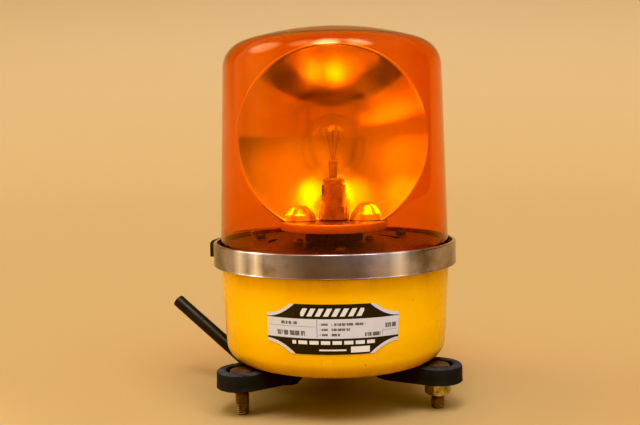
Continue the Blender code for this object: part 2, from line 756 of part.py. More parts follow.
def make_wiring():
    """Terminal block, the wires inside, and the lead with its moulded elbow."""
    block = box("terminal_block", (24.0, 11.0, 9.0), (-34.0, -20.0, 87.0), BLACK_PLASTIC, LIGHT)
    bevel(block, 0.8, 1)
    inside = HOUSING_UNDERSIDE_Z + HOUSING_WALL
    for name, mat, shift in (("wire_live", RED_WIRE, -1.6), ("wire_return", BLACK_PLASTIC, 1.6)):
        path = [
            (GLAND_AT[0] + shift, GLAND_AT[1], inside - 1.0),
            (GLAND_AT[0] + shift, GLAND_AT[1], inside + 16.0),
            (GLAND_AT[0] + shift * 2 - 2.0, -8.0, 58.0),
            (GLAND_AT[0] + shift * 3 - 3.5, -18.0, 70.0),
            (GLAND_AT[0] + shift * 3 - 3.5, -20.0, 82.1),
        ]
        wire(name, path, 1.1, mat, LIGHT, 1)
    path = [(-21.7, -20.0, 87.0), (-14.0, -20.0, 86.0), (-6.0, -12.0, 80.0), (-1.0, -3.0, 78.0)]
    path += [(0.0, 0.0, 81.0), (0.0, 0.0, 106.0)]
    wire("lamp_wire", path, 1.1, RED_WIRE, LIGHT, 1)

    along = Vector((LEAD_DIRECTION[0], LEAD_DIRECTION[1], 0.0)).normalized()
    bend_end = Vector(LEAD_BEND_END)
    slope = math.radians(LEAD_SLOPE)
    run = LEAD_BEND_R * math.sin(slope)
    rise = LEAD_BEND_R * (1 - math.cos(slope))
    bend_start = bend_end - along * run - Vector((0.0, 0.0, rise))
    path = [bend_start]
    for i in range(1, 7):
        turn = slope * i / 6
        step = along * (LEAD_BEND_R * math.sin(turn))
        path.append(bend_start + step + Vector((0, 0, LEAD_BEND_R * (1 - math.cos(turn)))))
    rising = along * math.cos(slope) + Vector((0.0, 0.0, math.sin(slope)))
    for i in range(1, 5):
        path.append(bend_end + rising * (LEAD_STRAIGHT * i / 4))
    wire("power_lead", path, LEAD_R, LEAD_JACKET, LIGHT, 2)

    gland = rod(
        "lead_elbow", 7.2, (7.0, HOUSING_UNDERSIDE_Z - GAP), GLAND_AT, RUBBER, LIGHT, 28
    )
    reach = (bend_start - Vector((GLAND_AT[0], GLAND_AT[1], bend_start.z))).length - GAP
    nose = rod("join_elbow_nose", 6.0, (0.0, reach), (0, 0, 0), None, LIGHT, 24, "Y")
    nose.location = Vector((GLAND_AT[0], GLAND_AT[1], bend_start.z)) * MM
    heading = math.atan2(bend_start.y - GLAND_AT[1], bend_start.x - GLAND_AT[0])
    nose.rotation_euler = (0.0, 0.0, heading - math.radians(90))
    join(gland, nose)


# ---------------------------------------------------------------- feet


def hexagon(across_flats):
    """The outline of a hexagon."""
    return circle(across_flats / 2 / math.cos(math.radians(30)), 6, start_at=0.0)


def make_feet():
    """Three rubber feet, each with its stud, washer, nut and fixing screw."""
    for side, angle in FOOT_ANGLES.items():
        heading = angle - 90.0
        hub = empty("foot_axis_" + side, (0.0, 0.0, 0.0), LIGHT, heading)
        outline = stadium(FOOT_INNER_R, FOOT_CIRCLE_R, FOOT_HALF_WIDTH, 13)
        stud = (FOOT_CIRCLE_R, 0.0, 0.0)
        fixing = (FOOT_SCREW_R, 0.0, 0.0)
        holes = [circle(4.3, 20, stud, 5.0), circle(2.3, 14, fixing, 5.0)]
        pad = slab("foot_" + side, [outline] + holes, FOOT_Z, RUBBER, hub)
        cut(pad, rod("cut_recess_" + side, 8.6, (20.0, 30.0), stud, None, hub, 32))
        cut(pad, rod("cut_fixing_" + side, 4.8, (10.0, 19.5), fixing, None, hub, 24))
        washer = [circle(8.2, 28, stud), circle(4.4, 20, stud)]
        slab("foot_washer_" + side, washer, (20.3, 21.7), RUSTY, hub)
        bolt = slab("foot_bolt_" + side, [hexagon(13.0)], (22.0, 25.6), RUSTY, hub, stud)
        join(bolt, rod("join_shank_" + side, 4.0, (0.0, 23.0), stud, None, hub, 24))
        screw("foot_screw_" + side, 4.2, 2.6, 1.9, 11.5, 19.2, fixing, ZINC, hub, True)
        if side != "left":
            nut = [hexagon(13.0), circle(4.3, 20)]
            slab("foot_nut_" + side, nut, (NUT_LOW_Z, FOOT_Z[0] - GAP), ZINC, hub, stud, NUT_TURN)


make_housing()
make_nameplate()
make_globe()
make_band()
make_latch()
make_chassis()
make_spindle()
make_drive()
make_turntable()
make_lampholder()
make_bulb()
make_wiring()
make_feet()
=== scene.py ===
"""Fine surfaces, materials, camera and light for the revolving warning light."""

import math

import bmesh
import bpy
from mathutils import Matrix, Vector


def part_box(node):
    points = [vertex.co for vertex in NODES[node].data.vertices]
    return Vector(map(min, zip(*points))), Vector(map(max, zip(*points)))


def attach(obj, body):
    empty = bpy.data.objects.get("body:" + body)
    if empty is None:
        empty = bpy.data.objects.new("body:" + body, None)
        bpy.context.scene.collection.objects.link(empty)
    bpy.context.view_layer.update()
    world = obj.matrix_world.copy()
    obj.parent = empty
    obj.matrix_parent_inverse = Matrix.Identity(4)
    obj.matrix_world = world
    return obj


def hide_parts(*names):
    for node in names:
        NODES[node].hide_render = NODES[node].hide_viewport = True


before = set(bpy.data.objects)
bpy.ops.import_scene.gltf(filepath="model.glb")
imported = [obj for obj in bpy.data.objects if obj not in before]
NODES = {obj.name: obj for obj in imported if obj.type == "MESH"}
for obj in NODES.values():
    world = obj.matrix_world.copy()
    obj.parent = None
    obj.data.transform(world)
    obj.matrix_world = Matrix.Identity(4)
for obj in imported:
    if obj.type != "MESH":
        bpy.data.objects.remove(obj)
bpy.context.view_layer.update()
MM = 0.001
SHARP_ANGLE, CAD_SHARP_ANGLE = 35.0, 30.0

# The light's own axis, from the globe.
_low, _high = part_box("globe")
AXIS = Vector(((_low.x + _high.x) / 2, (_low.y + _high.y) / 2, 0.0))


def at(x, y, z):
    """A point given in millimetres from the light's axis, in the row frame."""
    return AXIS + Vector((x, y, z)) * MM


def polar(radius, angle, z):
    """A point at an angle from the front, positive towards +X."""
    turn = math.radians(angle)
    return (radius * math.sin(turn), -radius * math.cos(turn), z)


# ---------------------------------------- driving dimensions
# Millimetres from the light's axis and the ground, and degrees from the front.

FEET = {"left": -56.0, "right": 64.0, "rear": 184.0}
HUB_R, FIXING_R, INNER_R, PAD_HALF = 65.0, 43.0, 41.3, 14.2
BOLT_FLATS = 13.0
VENTS, VENT_R = (4.0, 124.0, 244.0), 30.0

# The housing: its foot, the round of its lower corner, and a wall that leans out a little.
UNDERSIDE, CORNER, SHEET = 26.2, 9.9, 1.5
WALL_LOW, WALL_TOP, RIM_TOP = UNDERSIDE + CORNER, 86.9, 88.3
LOW_R, TOP_R, RIM_R = 66.1, 68.72, 71.0
SLOPE = (TOP_R - LOW_R) / (WALL_TOP - WALL_LOW)

# The nameplate: half its width and height, its middle, and the radius it is wrapped at.
PLATE_HALF, PLATE_HIGH, PLATE_Z, WRAP_R = 37.1, 13.55, 55.15, 67.6

# The globe: its wall runs from the shoulder to the foot, and the band grips its flange.
GLOBE_TOP, GLOBE_WALL, GLOBE_ROUND = 221.2, 1.2, 15.6
SHOULDER_R, SHOULDER_Z = 64.8, 197.7
FOOT_R, FOOT_Z = 68.4, 93.6
BAND_IN, BAND_OUT, LATCH_ANGLE = 71.6, 72.7, -129.0

# The mirror is a paraboloid on its side, turning above the disc.
FOCAL, MIRROR_R, MIRROR_SHEET = 25.0, 57.2, 1.2
MIRROR_Y, MIRROR_Z, DISC_TOP = 22.1, 155.8, 107.0

# The lamp: a ball of glass on a bayonet cap.
BALL_R, BALL_Z, BALL_WALL, NECK_R = 19.5, 151.5, 0.25, 5.2


# ---------------------------------------- shape helpers


def finished(bm, name):
    """The mesh that a finished bmesh makes."""
    mesh = bpy.data.meshes.new(name)
    bm.to_mesh(mesh)
    bm.free()
    return mesh


def arc(centre, radius, begin, end, count):
    """Points along part of a circle."""
    points = []
    for i in range(count):
        turn = math.radians(begin + (end - begin) * i / (count - 1))
        points.append((centre[0] + radius * math.cos(turn), centre[1] + radius * math.sin(turn)))
    return points


def rounded(points, closed=False, steps=4):
    """Fillet the corners of a profile whose points carry a third value, the radius."""
    result = []
    count = len(points)
    for i, point in enumerate(points):
        radius = point[2] if len(point) > 2 else 0.0
        here = Vector(point[:2])
        if radius <= 0 or (not closed and i in (0, count - 1)):
            result.append((here.x, here.y))
            continue
        to_last = Vector(points[i - 1][:2]) - here
        to_next = Vector(points[(i + 1) % count][:2]) - here
        limit = 0.49 * min(to_last.length, to_next.length)
        to_last.normalize()
        to_next.normalize()
        half = to_last.angle(to_next) / 2
        if half > math.radians(88):
            result.append((here.x, here.y))
            continue
        reach = min(radius / math.tan(half), limit)
        size = reach * math.tan(half)
        middle = here + (to_last + to_next).normalized() * (size / math.sin(half))
        first = here + to_last * reach - middle
        last = here + to_next * reach - middle
        sweep = first.angle_signed(last)
        for k in range(steps + 1):
            turned = first.copy()
            turned.rotate(Matrix.Rotation(-sweep * k / steps, 2))
            spot = middle + turned
            result.append((spot.x, spot.y))
    return result


def add(name, mesh, material, body, replaces=()):
    """Link a mesh as a piece that rides on a body."""
    obj = bpy.data.objects.new(name, mesh)
    bpy.context.scene.collection.objects.link(obj)
    mesh.materials.clear()
    mesh.materials.append(material)
    mesh.shade_smooth()
    mesh.set_sharp_from_angle(angle=math.radians(SHARP_ANGLE))
    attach(obj, body)
    if replaces:
        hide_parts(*replaces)
    return obj


def lathe_mesh(name, profile, steps=128, closed=False, centre=None, matrix=None):
    """Turn a profile of (radius, height) in millimetres. UV runs round and along, in metres."""
    bm = bmesh.new()
    wrap = bm.loops.layers.uv.new("wrap")
    rings = []
    along = [0.0]
    for i in range(1, len(profile) + 1):
        a, b = profile[i - 1], profile[i % len(profile)]
        along.append(along[-1] + math.hypot(b[0] - a[0], b[1] - a[1]) * MM)
    reach = max(r for r, _ in profile) * MM
    for r, z in profile:
        if r < 0.0001:
            rings.append([bm.verts.new((0.0, 0.0, z * MM))])
            continue
        ring = []
        for k in range(steps):
            turn = 2 * math.pi * k / steps + math.pi
            ring.append(bm.verts.new((r * math.sin(turn) * MM, -r * math.cos(turn) * MM, z * MM)))
        rings.append(ring)
    count = len(profile) if closed else len(profile) - 1
    for i in range(count):
        a, b = rings[i], rings[(i + 1) % len(rings)]
        for k in range(steps):
            n = (k + 1) % steps
            corners = []
            around = ((a, k, k, i), (a, n, k + 1, i), (b, n, k + 1, i + 1), (b, k, k, i + 1))
            for ring, index, step, row in around:
                vert = ring[0] if len(ring) == 1 else ring[index]
                if vert not in [c[0] for c in corners]:
                    corners.append((vert, step, row))
            if len(corners) < 3:
                continue
            face = bm.faces.new([c[0] for c in corners])
            for loop, (_, step, row) in zip(face.loops, corners):
                loop[wrap].uv = ((step / steps - 0.5) * 2 * math.pi * reach, along[row])
    bmesh.ops.recalc_face_normals(bm, faces=bm.faces)
    if matrix is not None:
        bm.transform(matrix)
    bm.transform(Matrix.Translation(AXIS if centre is None else centre))
    return finished(bm, name)


def lathe(name, profile, material, body, slot, replaces=(), steps=128, closed=False, **where):
    """Turn a profile and link it as a piece."""
    return add(name, lathe_mesh(name, profile, steps, closed, **where), material, body, replaces)


def tool(mesh):
    """A loose object that cuts another, removed after use."""
    obj = bpy.data.objects.new("cutter", mesh)
    bpy.context.scene.collection.objects.link(obj)
    return obj


def box_mesh(size, centre, turn=0.0):
    """A box of a size in millimetres, turned about the upright axis."""
    bm = bmesh.new()
    bmesh.ops.create_cube(bm, size=1.0)
    bm.transform(Matrix.Diagonal((size[0] * MM, size[1] * MM, size[2] * MM, 1.0)))
    bm.transform(Matrix.Rotation(math.radians(turn), 4, "Z"))
    bm.transform(Matrix.Translation(centre))
    return finished(bm, "box")


def carve(obj, meshes, operation="DIFFERENCE"):
    """Cut an object with meshes, join them to it, or keep what it shares with them."""
    tools = [tool(m) for m in meshes]
    for cutter in tools:
        change = obj.modifiers.new("cut", "BOOLEAN")
        change.operation = operation
        change.object = cutter
        change.solver = "EXACT"
    bpy.context.view_layer.update()
    shape = obj.evaluated_get(bpy.context.evaluated_depsgraph_get())
    mesh = bpy.data.meshes.new_from_object(shape)
    obj.modifiers.clear()
    old = obj.data
    obj.data = mesh
    bpy.data.meshes.remove(old)
    for cutter in tools:
        spent = cutter.data
        bpy.data.objects.remove(cutter, do_unlink=True)
        bpy.data.meshes.remove(spent)
    mesh.shade_smooth()
    mesh.set_sharp_from_angle(angle=math.radians(SHARP_ANGLE))


def soften(obj, width, segments=2):
    """Round the edges of a piece or of a node."""
    rounding = obj.modifiers.new("rounding", "BEVEL")
    rounding.width = width * MM
    rounding.segments = segments
    rounding.limit_method = "ANGLE"
    rounding.angle_limit = math.radians(SHARP_ANGLE)
    rounding.harden_normals = False


def tube(name, points, radius, material, body, replaces=(), resolution=4):
    """A smooth round wire through points in metres."""
    curve = bpy.data.curves.new(name, "CURVE")
    curve.dimensions = "3D"
    curve.bevel_depth = radius * MM
    curve.bevel_resolution = resolution
    curve.use_fill_caps = True
    spline = curve.splines.new("POLY")
    spline.points.add(len(points) - 1)
    for point, place in zip(spline.points, points):
        point.co = (*place, 1.0)
    spline.use_smooth = True
    obj = bpy.data.objects.new(name, curve)
    bpy.context.scene.collection.objects.link(obj)
    curve.materials.append(material)
    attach(obj, body)
    if replaces:
        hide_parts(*replaces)
    return obj


# ---------------------------------------- materials


class Nodes:
    """A node tree, with short calls for the nodes that it needs."""

    def __init__(self, tree):
        self.tree = tree

    def put(self, socket, value):
        """Link a socket, or set a constant on it."""
        if isinstance(value, bpy.types.NodeSocket):
            self.tree.links.new(value, socket)
        elif isinstance(value, (tuple, list)) and len(value) == 3 and len(socket.default_value) == 4:
            socket.default_value = (*value, 1.0)
        else:
            socket.default_value = value

    def fill(self, node, values):
        """Set a node's sockets, named in lower case with underscores."""
        for name, value in values.items():
            title = name.replace("_", " ").title().replace("Ior", "IOR")
            self.put(node.inputs[title], value)
        return node

    def node(self, kind, **values):
        """Add a node and set its sockets."""
        return self.fill(self.tree.nodes.new("ShaderNode" + kind), values)

    def where(self, kind="Object"):
        """A texture coordinate."""
        return self.node("TexCoord").outputs[kind]

    def split(self, vector):
        """The three parts of a vector."""
        return self.node("SeparateXYZ", vector=vector).outputs

    def stretch(self, vector, scale):
        """A vector scaled along each axis."""
        return self.node("Mapping", vector=vector, scale=scale).outputs[0]

    def noise(self, scale, detail=3.0, rough=0.55, vector=None, warp=0.0):
        """Noise between 0 and 1."""
        node = self.node("TexNoise", scale=scale, detail=detail, roughness=rough, distortion=warp)
        self.put(node.inputs["Vector"], self.where() if vector is None else vector)
        return node.outputs["Fac"]

    def span(self, value, low, high, to_low=0.0, to_high=1.0):
        """One range mapped to another."""
        node = self.node("MapRange", from_min=low, from_max=high, to_min=to_low, to_max=to_high)
        self.put(node.inputs["Value"], value)
        return node.outputs[0]

    def ramp(self, value, stops):
        """A colour from stops along a value."""
        node = self.node("ValToRGB")
        self.put(node.inputs[0], value)
        points = node.color_ramp.elements
        while len(points) < len(stops):
            points.new(0.5)
        for point, (place, colour) in zip(points, stops):
            point.position = place
            point.color = (*colour, 1.0)
        return node.outputs[0]

    def mix(self, share, first, second):
        """A colour between two."""
        node = self.node("Mix")
        node.data_type = "RGBA"
        for index, value in ((0, share), (6, first), (7, second)):
            self.put(node.inputs[index], value)
        return node.outputs[2]

    def maths(self, operation, *values, kind="Math"):
        """One operation on values, or on vectors."""
        node = self.node(kind)
        node.operation = operation
        for socket, value in zip(node.inputs, values):
            self.put(socket, value)
        return node.outputs[0]

    def bump(self, height, strength, distance, after=None):
        """A normal from a height, over a distance in millimetres."""
        node = self.node("Bump", height=height, strength=strength, distance=distance * MM)
        if after is not None:
            self.put(node.inputs["Normal"], after)
        return node.outputs[0]


class Shade(Nodes):
    """A material with one shader."""

    def __init__(self, name):
        self.material = bpy.data.materials.new(name)
        self.material.use_nodes = True
        super().__init__(self.material.node_tree)
        self.tree.nodes.clear()
        self.out, self.shader = self.node("OutputMaterial"), self.node("BsdfPrincipled")
        self.put(self.out.inputs["Surface"], self.shader.outputs[0])

    def set(self, **values):
        """Set the shader's sockets."""
        self.fill(self.shader, values)

    def lets_light_in(self, colour):
        """Shadow rays pass straight through, tinted, so that light gets in."""
        path, clear = self.node("LightPath"), self.node("BsdfTransparent", color=colour)
        mixer = self.node("MixShader")
        sources = (path.outputs["Is Shadow Ray"], self.shader.outputs[0], clear.outputs[0])
        for socket, source in zip(mixer.inputs, sources):
            self.put(socket, source)
        self.put(self.out.inputs["Surface"], mixer.outputs[0])


def yellow_paint():
    """Yellow enamel, with painted shade low down and in streaks under the band and round the lower corner,
    and scratches and chips.
    """
    s = Shade("yellow_enamel")
    height = s.split(s.where())[2]
    broad = s.noise(16.0, 3.0)
    colour = s.ramp(broad, [(0.3, (0.80, 0.42, 0.0)), (0.7, (0.87, 0.50, 0.0))])
    # Painted shade: the enamel is darker low down.
    colour = s.mix(s.span(height, 0.052, 0.030, 0.0, 0.8), colour, (0.56, 0.28, 0.0))
    # Streaks of painted shade darken the enamel under the band and round the lower corner.
    shade_streaks = s.noise(1.0, 4.0, 0.6, s.stretch(s.where(), (90.0, 90.0, 22.0)))
    shade_under_band = s.span(height, 0.0715, 0.0835)
    shade_near_floor = s.span(height, 0.036, 0.027)
    # The grime mask is painted shade: it darkens the enamel there and also roughens it.
    grime = s.maths("MULTIPLY", s.maths("MAXIMUM", shade_under_band, shade_near_floor), s.span(shade_streaks, 0.42, 0.7))
    colour = s.mix(s.maths("MULTIPLY", grime, 0.42), colour, (0.30, 0.14, 0.012))
    # Thin scratches and small dark chips.
    scratch = s.noise(1.0, 2.0, 0.5, s.stretch(s.where(), (700.0, 700.0, 60.0)), 0.6)
    scratch = s.span(scratch, 0.70, 0.74)
    colour = s.mix(s.maths("MULTIPLY", scratch, 0.28), colour, (0.95, 0.62, 0.12))
    chip = s.maths("MULTIPLY", s.span(s.noise(330.0, 2.0), 0.73, 0.76), s.span(broad, 0.45, 0.62))
    colour = s.mix(s.maths("MULTIPLY", chip, 0.75), colour, (0.12, 0.06, 0.02))
    worn = s.maths("ADD", s.span(s.noise(60.0, 4.0), 0.35, 0.75, 0.2, 0.34), s.maths("MULTIPLY", grime, 0.3))
    skin = s.bump(s.noise(420.0, 1.0), 0.09, 0.12)
    skin = s.bump(s.maths("SUBTRACT", 0.0, chip), 0.4, 0.08, skin)
    s.set(base_color=colour, roughness=worn, normal=skin, coat_weight=0.12, coat_roughness=0.12)
    s.set(specular_ior_level=0.3, specular_tint=(1.0, 0.75, 0.2))
    return s.material


# Across the band in metres: where painted highlights lie, with the half width of each.
BAND_GLINTS = ((-0.0506, 0.004), (-0.0410, 0.0045), (0.0355, 0.006))


def brushed(name, base, rough=(0.22, 0.4), stain=(0.3, 0.26, 0.22), stained=0.4, wrap=True):
    """Steel brushed round its turned surface, with painted reflections across it, or plain satin where it
    isn't turned.
    """
    s = Shade(name)
    if wrap:
        place = s.stretch(s.where("UV"), (30.0, 4200.0, 1.0))
    else:
        place = s.stretch(s.where(), (60.0, 60.0, 2600.0))
    lines = s.noise(1.0, 3.0, 0.6, place)
    cloud = s.noise(24.0, 4.0, 0.6)
    spots = s.span(s.noise(240.0, 3.0), 0.6, 0.74)
    colour = s.mix(s.span(lines, 0.3, 0.7), tuple(c * 0.86 for c in base), base)
    colour = s.mix(s.maths("MULTIPLY", s.span(cloud, 0.42, 0.64), stained), colour, stain)
    colour = s.mix(s.maths("MULTIPLY", spots, 0.3), colour, stain)
    if wrap:
        # Painted reflection: the middle is darker, and painted highlights brighten a few places.
        across = s.split(s.where())[0]
        left, right = s.span(across, -0.036, -0.014), s.span(across, 0.030, 0.010, 0.0, 0.7)
        colour = s.mix(s.maths("MULTIPLY", left, right), colour, stain)
        # Painted highlights brighten the band at these places.
        for centre, half in BAND_GLINTS:
            gap = s.maths("ABSOLUTE", s.maths("SUBTRACT", across, centre))
            colour = s.mix(s.span(gap, half, 0.0, 0.0, 0.75), colour, (0.98, 0.95, 0.92))
    shine = s.maths("ADD", s.span(lines, 0.25, 0.75, *rough), s.span(cloud, 0.5, 0.8, 0.0, 0.12))
    s.set(base_color=colour, metallic=1.0, roughness=shine, normal=s.bump(lines, 0.12, 0.05))
    return s.material


def metal(name, first, second, rough=(0.3, 0.5), scale=120.0, bump=0.1, metallic=1.0):
    """Plated or plain metal with cloudy colour."""
    s = Shade(name)
    cloud = s.noise(scale, 4.0, 0.6)
    fine = s.noise(scale * 9, 2.0)
    colour = s.ramp(cloud, [(0.3, first), (0.7, second)])
    s.set(base_color=colour, metallic=metallic, roughness=s.span(fine, 0.3, 0.7, *rough))
    s.set(normal=s.bump(fine, bump, 0.06))
    return s.material


def turned_disc():
    """Plated sheet, bright on its skirt, with painted shade on its top."""
    s = Shade("turned_sheet")
    upward = s.split(s.node("NewGeometry").outputs["Normal"])[2]
    cloud = s.noise(40.0, 3.0)
    skirt = s.ramp(cloud, [(0.3, (0.80, 0.62, 0.34)), (0.7, (0.95, 0.78, 0.46))])
    # Painted shade: the upward faces get a darker copy of the plating.
    top = s.ramp(cloud, [(0.3, (0.40, 0.30, 0.16)), (0.7, (0.52, 0.40, 0.22))])
    s.set(base_color=s.mix(s.span(upward, 0.5, 0.9), skirt, top), metallic=1.0)
    s.set(roughness=s.span(upward, 0.5, 0.9, 0.48, 0.2), normal=s.bump(s.noise(600.0, 2.0), 0.03, 0.05))
    return s.material


def rust():
    """Dark rust, cloudy and rough."""
    s = Shade("rusted_steel")
    cloud = s.noise(170.0, 5.0, 0.7)
    grain = s.noise(1500.0, 3.0, 0.6)
    stops = [(0.25, (0.022, 0.013, 0.012)), (0.5, (0.070, 0.034, 0.025)), (0.75, (0.17, 0.075, 0.045))]
    colour = s.ramp(cloud, stops)
    s.set(base_color=colour, metallic=0.25, roughness=s.span(grain, 0.3, 0.7, 0.55, 0.9))
    s.set(normal=s.bump(grain, 0.5, 0.15))
    return s.material


def stud_metal():
    """Bronze-brown metal, cloudy and dulled."""
    s = Shade("stud_bronze")
    cloud = s.noise(230.0, 4.0, 0.65)
    stops = [(0.3, (0.10, 0.062, 0.034)), (0.55, (0.27, 0.175, 0.09)), (0.8, (0.45, 0.33, 0.18))]
    colour = s.ramp(cloud, stops)
    s.set(base_color=colour, metallic=0.85, roughness=s.span(cloud, 0.3, 0.7, 0.34, 0.6))
    s.set(normal=s.bump(s.noise(1800.0, 2.0), 0.2, 0.05))
    return s.material


def rubber():
    """Black rubber, grey where its top is rubbed and dusty, with a painted sheen there too."""
    s = Shade("worn_rubber")
    upward = s.split(s.node("NewGeometry").outputs["Normal"])[2]
    cloud = s.noise(95.0, 5.0, 0.65)
    grain = s.noise(1300.0, 3.0, 0.6)
    colour = s.ramp(cloud, [(0.3, (0.003, 0.006, 0.012)), (0.7, (0.008, 0.013, 0.024))])
    # Upward faces turn grey: partly dust, partly a painted sheen on the top rim.
    dust = s.maths("MULTIPLY", s.span(upward, 0.35, 0.95), s.span(cloud, 0.36, 0.66))
    colour = s.mix(s.maths("MULTIPLY", dust, 0.55), colour, (0.10, 0.105, 0.125))
    s.set(specular_ior_level=0.22)
    s.set(base_color=colour, roughness=s.span(grain, 0.3, 0.7, 0.5, 0.78))
    s.set(normal=s.bump(s.noise(300.0, 3.0), 0.18, 0.2, s.bump(grain, 0.22, 0.06)))
    return s.material


def plastic(name, colour, rough):
    """Plain plastic or rubber, a little cloudy, with a fine grain."""
    s = Shade(name)
    grain = s.noise(900.0, 2.0)
    cloud = s.noise(60.0, 3.0)
    darker, lighter = tuple(c * 0.8 for c in colour), tuple(c * 1.25 for c in colour)
    tint = s.ramp(cloud, [(0.3, darker), (0.7, lighter)])
    s.set(base_color=tint, roughness=s.span(cloud, 0.3, 0.7, *rough), normal=s.bump(grain, 0.06, 0.05))
    return s.material


def mirror():
    """A bright reflector, a little wavy and cloudy, dusty at its foot."""
    s = Shade("bright_reflector")
    cloud = s.noise(45.0, 4.0, 0.6)
    ripple = s.noise(26.0, 1.0)
    s.set(base_color=s.ramp(cloud, [(0.3, (0.90, 0.89, 0.86)), (0.7, (0.95, 0.94, 0.92))]))
    dust = s.span(s.split(s.where())[2], 0.145, 0.118, 0.0, 0.13)
    shine = s.maths("ADD", s.span(cloud, 0.35, 0.75, 0.09, 0.17), dust)
    s.set(metallic=1.0, roughness=shine, normal=s.bump(ripple, 0.10, 0.6))
    return s.material


def amber():
    """Clear amber plastic: the tint deepens with the depth of the wall."""
    s = Shade("amber_plastic")
    haze = s.noise(70.0, 4.0, 0.6)
    s.set(base_color=(1.0, 0.58, 0.03), transmission_weight=1.0, ior=1.42)
    s.set(specular_tint=(1.0, 0.78, 0.50))
    s.set(roughness=s.span(haze, 0.4, 0.8, 0.0, 0.035), normal=s.bump(s.noise(18.0, 1.0), 0.05, 0.5))
    depth = s.node("VolumeAbsorption", color=(0.985, 0.82, 0.0), density=1200.0)
    s.put(s.out.inputs["Volume"], depth.outputs[0])
    s.lets_light_in((0.99, 0.70, 0.18))
    return s.material


def clear_glass():
    """A thin clear shell: it mirrors a little face on and more where it turns away."""
    s = Shade("lamp_glass")
    facing = s.node("LayerWeight", blend=0.5)
    edge = s.maths("POWER", facing.outputs["Facing"], 5.0)
    haze = s.noise(120.0, 3.0)
    s.set(base_color=(0.95, 0.94, 0.92), metallic=1.0, roughness=s.span(haze, 0.4, 0.8, 0.01, 0.06))
    s.set(alpha=s.maths("MULTIPLY_ADD", edge, 0.75, s.span(haze, 0.3, 0.8, 0.018, 0.032)))
    return s.material


def label():
    """Printed film: black fields over a pale band, rules and plain bars, no lettering."""
    s = Shade("nameplate_film")
    x, y = (s.maths("MULTIPLY", part, 1.0 / MM) for part in s.split(s.where("UV"))[:2])
    away, up = s.maths("ABSOLUTE", x), s.maths("ABSOLUTE", y)

    def fields(*edges):
        """One inside any of the rectangles, which are given as left, right, low and high."""
        total = None
        for x0, x1, y0, y1 in edges:
            across = s.maths("COMPARE", x, (x0 + x1) / 2, (x1 - x0) / 2)
            along = s.maths("COMPARE", y, (y0 + y1) / 2, (y1 - y0) / 2)
            inside = s.maths("MULTIPLY", across, along)
            total = inside if total is None else s.maths("MAXIMUM", total, inside)
        return total

    # The black field keeps inside the plate's hollow corners.
    corner = s.maths("DIVIDE", s.maths("SUBTRACT", PLATE_HALF, away), 16.8)
    corner = s.maths("MAXIMUM", corner, 0.0)
    limit = s.maths("MULTIPLY_ADD", s.maths("MULTIPLY", corner, corner), 7.5, 6.05)
    framed = s.maths("LESS_THAN", up, limit)
    pale_band = s.maths("COMPARE", y, 0.4, 5.3)
    black = s.maths("MULTIPLY", framed, s.maths("SUBTRACT", 1.0, pale_band))
    pale, ink, white = (0.54, 0.55, 0.64), (0.012, 0.010, 0.012), (0.64, 0.63, 0.63)
    grime = s.noise(70.0, 4.0, 0.6)
    field = s.mix(s.maths("MULTIPLY", s.span(grime, 0.45, 0.8), 0.35), pale, (0.46, 0.42, 0.36))
    colour = s.mix(black, field, ink)
    # Slanted bars fill the upper field, and plain bars the rows below.
    slant = s.maths("FRACT", s.maths("DIVIDE", s.maths("MULTIPLY_ADD", y, -0.55, x), 4.4))
    stripes = s.maths("MULTIPLY", fields((-17.0, 17.0, 7.1, 11.4)), s.maths("LESS_THAN", slant, 0.62))
    dashes = s.maths("FRACT", s.maths("DIVIDE", x, 6.2))
    row = s.maths("MULTIPLY", fields((-22.0, 23.0, -8.1, -6.1)), s.maths("LESS_THAN", dashes, 0.8))
    blocks = fields((9.8, 20.2, -12.6, -9.3), (-7.2, 7.4, -11.6, -10.7))
    light = s.maths("MAXIMUM", s.maths("MAXIMUM", stripes, row), blocks)
    colour = s.mix(light, colour, white)
    rules = fields(
        (-8.35, -7.95, -4.4, 5.4),
        (-36.0, -9.0, 1.35, 1.6),
        (27.3, 36.0, -1.5, -1.25),
        (27.3, 27.55, -4.2, -1.3),
    )
    colour = s.mix(s.maths("MULTIPLY", rules, 0.75), colour, (0.10, 0.095, 0.09))
    edges = [(-28.2, -19.0, 2.5, 4.1), (-31.0, -14.8, -3.5, -0.9)]
    for height, end in ((2.8, 17.6), (0.0, 9.3), (-2.8, 4.0)):
        edges.append((-6.6, -2.4, height - 0.6, height + 0.6))
        edges.append((-0.4, end, height - 0.7, height + 0.7))
    edges += [(17.4, 26.3, -4.1, -2.0), (29.0, 35.4, -0.2, 2.3)]
    breaks = s.span(s.noise(1.0, 1.0, 0.5, s.stretch(s.where("UV"), (900.0, 60.0, 1.0))), 0.40, 0.46)
    broken = s.maths("MULTIPLY", fields(*edges), breaks)
    colour = s.mix(s.maths("MULTIPLY", broken, 0.86), colour, (0.05, 0.045, 0.05))
    wear = s.span(s.noise(500.0, 3.0), 0.68, 0.74)
    colour = s.mix(s.maths("MULTIPLY", wear, 0.35), colour, (0.38, 0.34, 0.28))
    s.set(base_color=colour, roughness=s.span(grime, 0.3, 0.7, 0.28, 0.46))
    s.set(coat_weight=0.1, coat_roughness=0.2)
    s.set(specular_ior_level=0.3)
    return s.material


def jacket():
    """The lead's black jacket, streaked and slightly glossy."""
    s = Shade("lead_jacket")
    streak = s.noise(160.0, 3.0)
    s.set(base_color=s.ramp(streak, [(0.3, (0.003, 0.003, 0.0035)), (0.75, (0.008, 0.008, 0.009))]))
    s.set(specular_ior_level=0.25)
    s.set(roughness=s.span(streak, 0.3, 0.7, 0.34, 0.52), normal=s.bump(s.noise(700.0, 2.0), 0.08, 0.08))
    return s.material


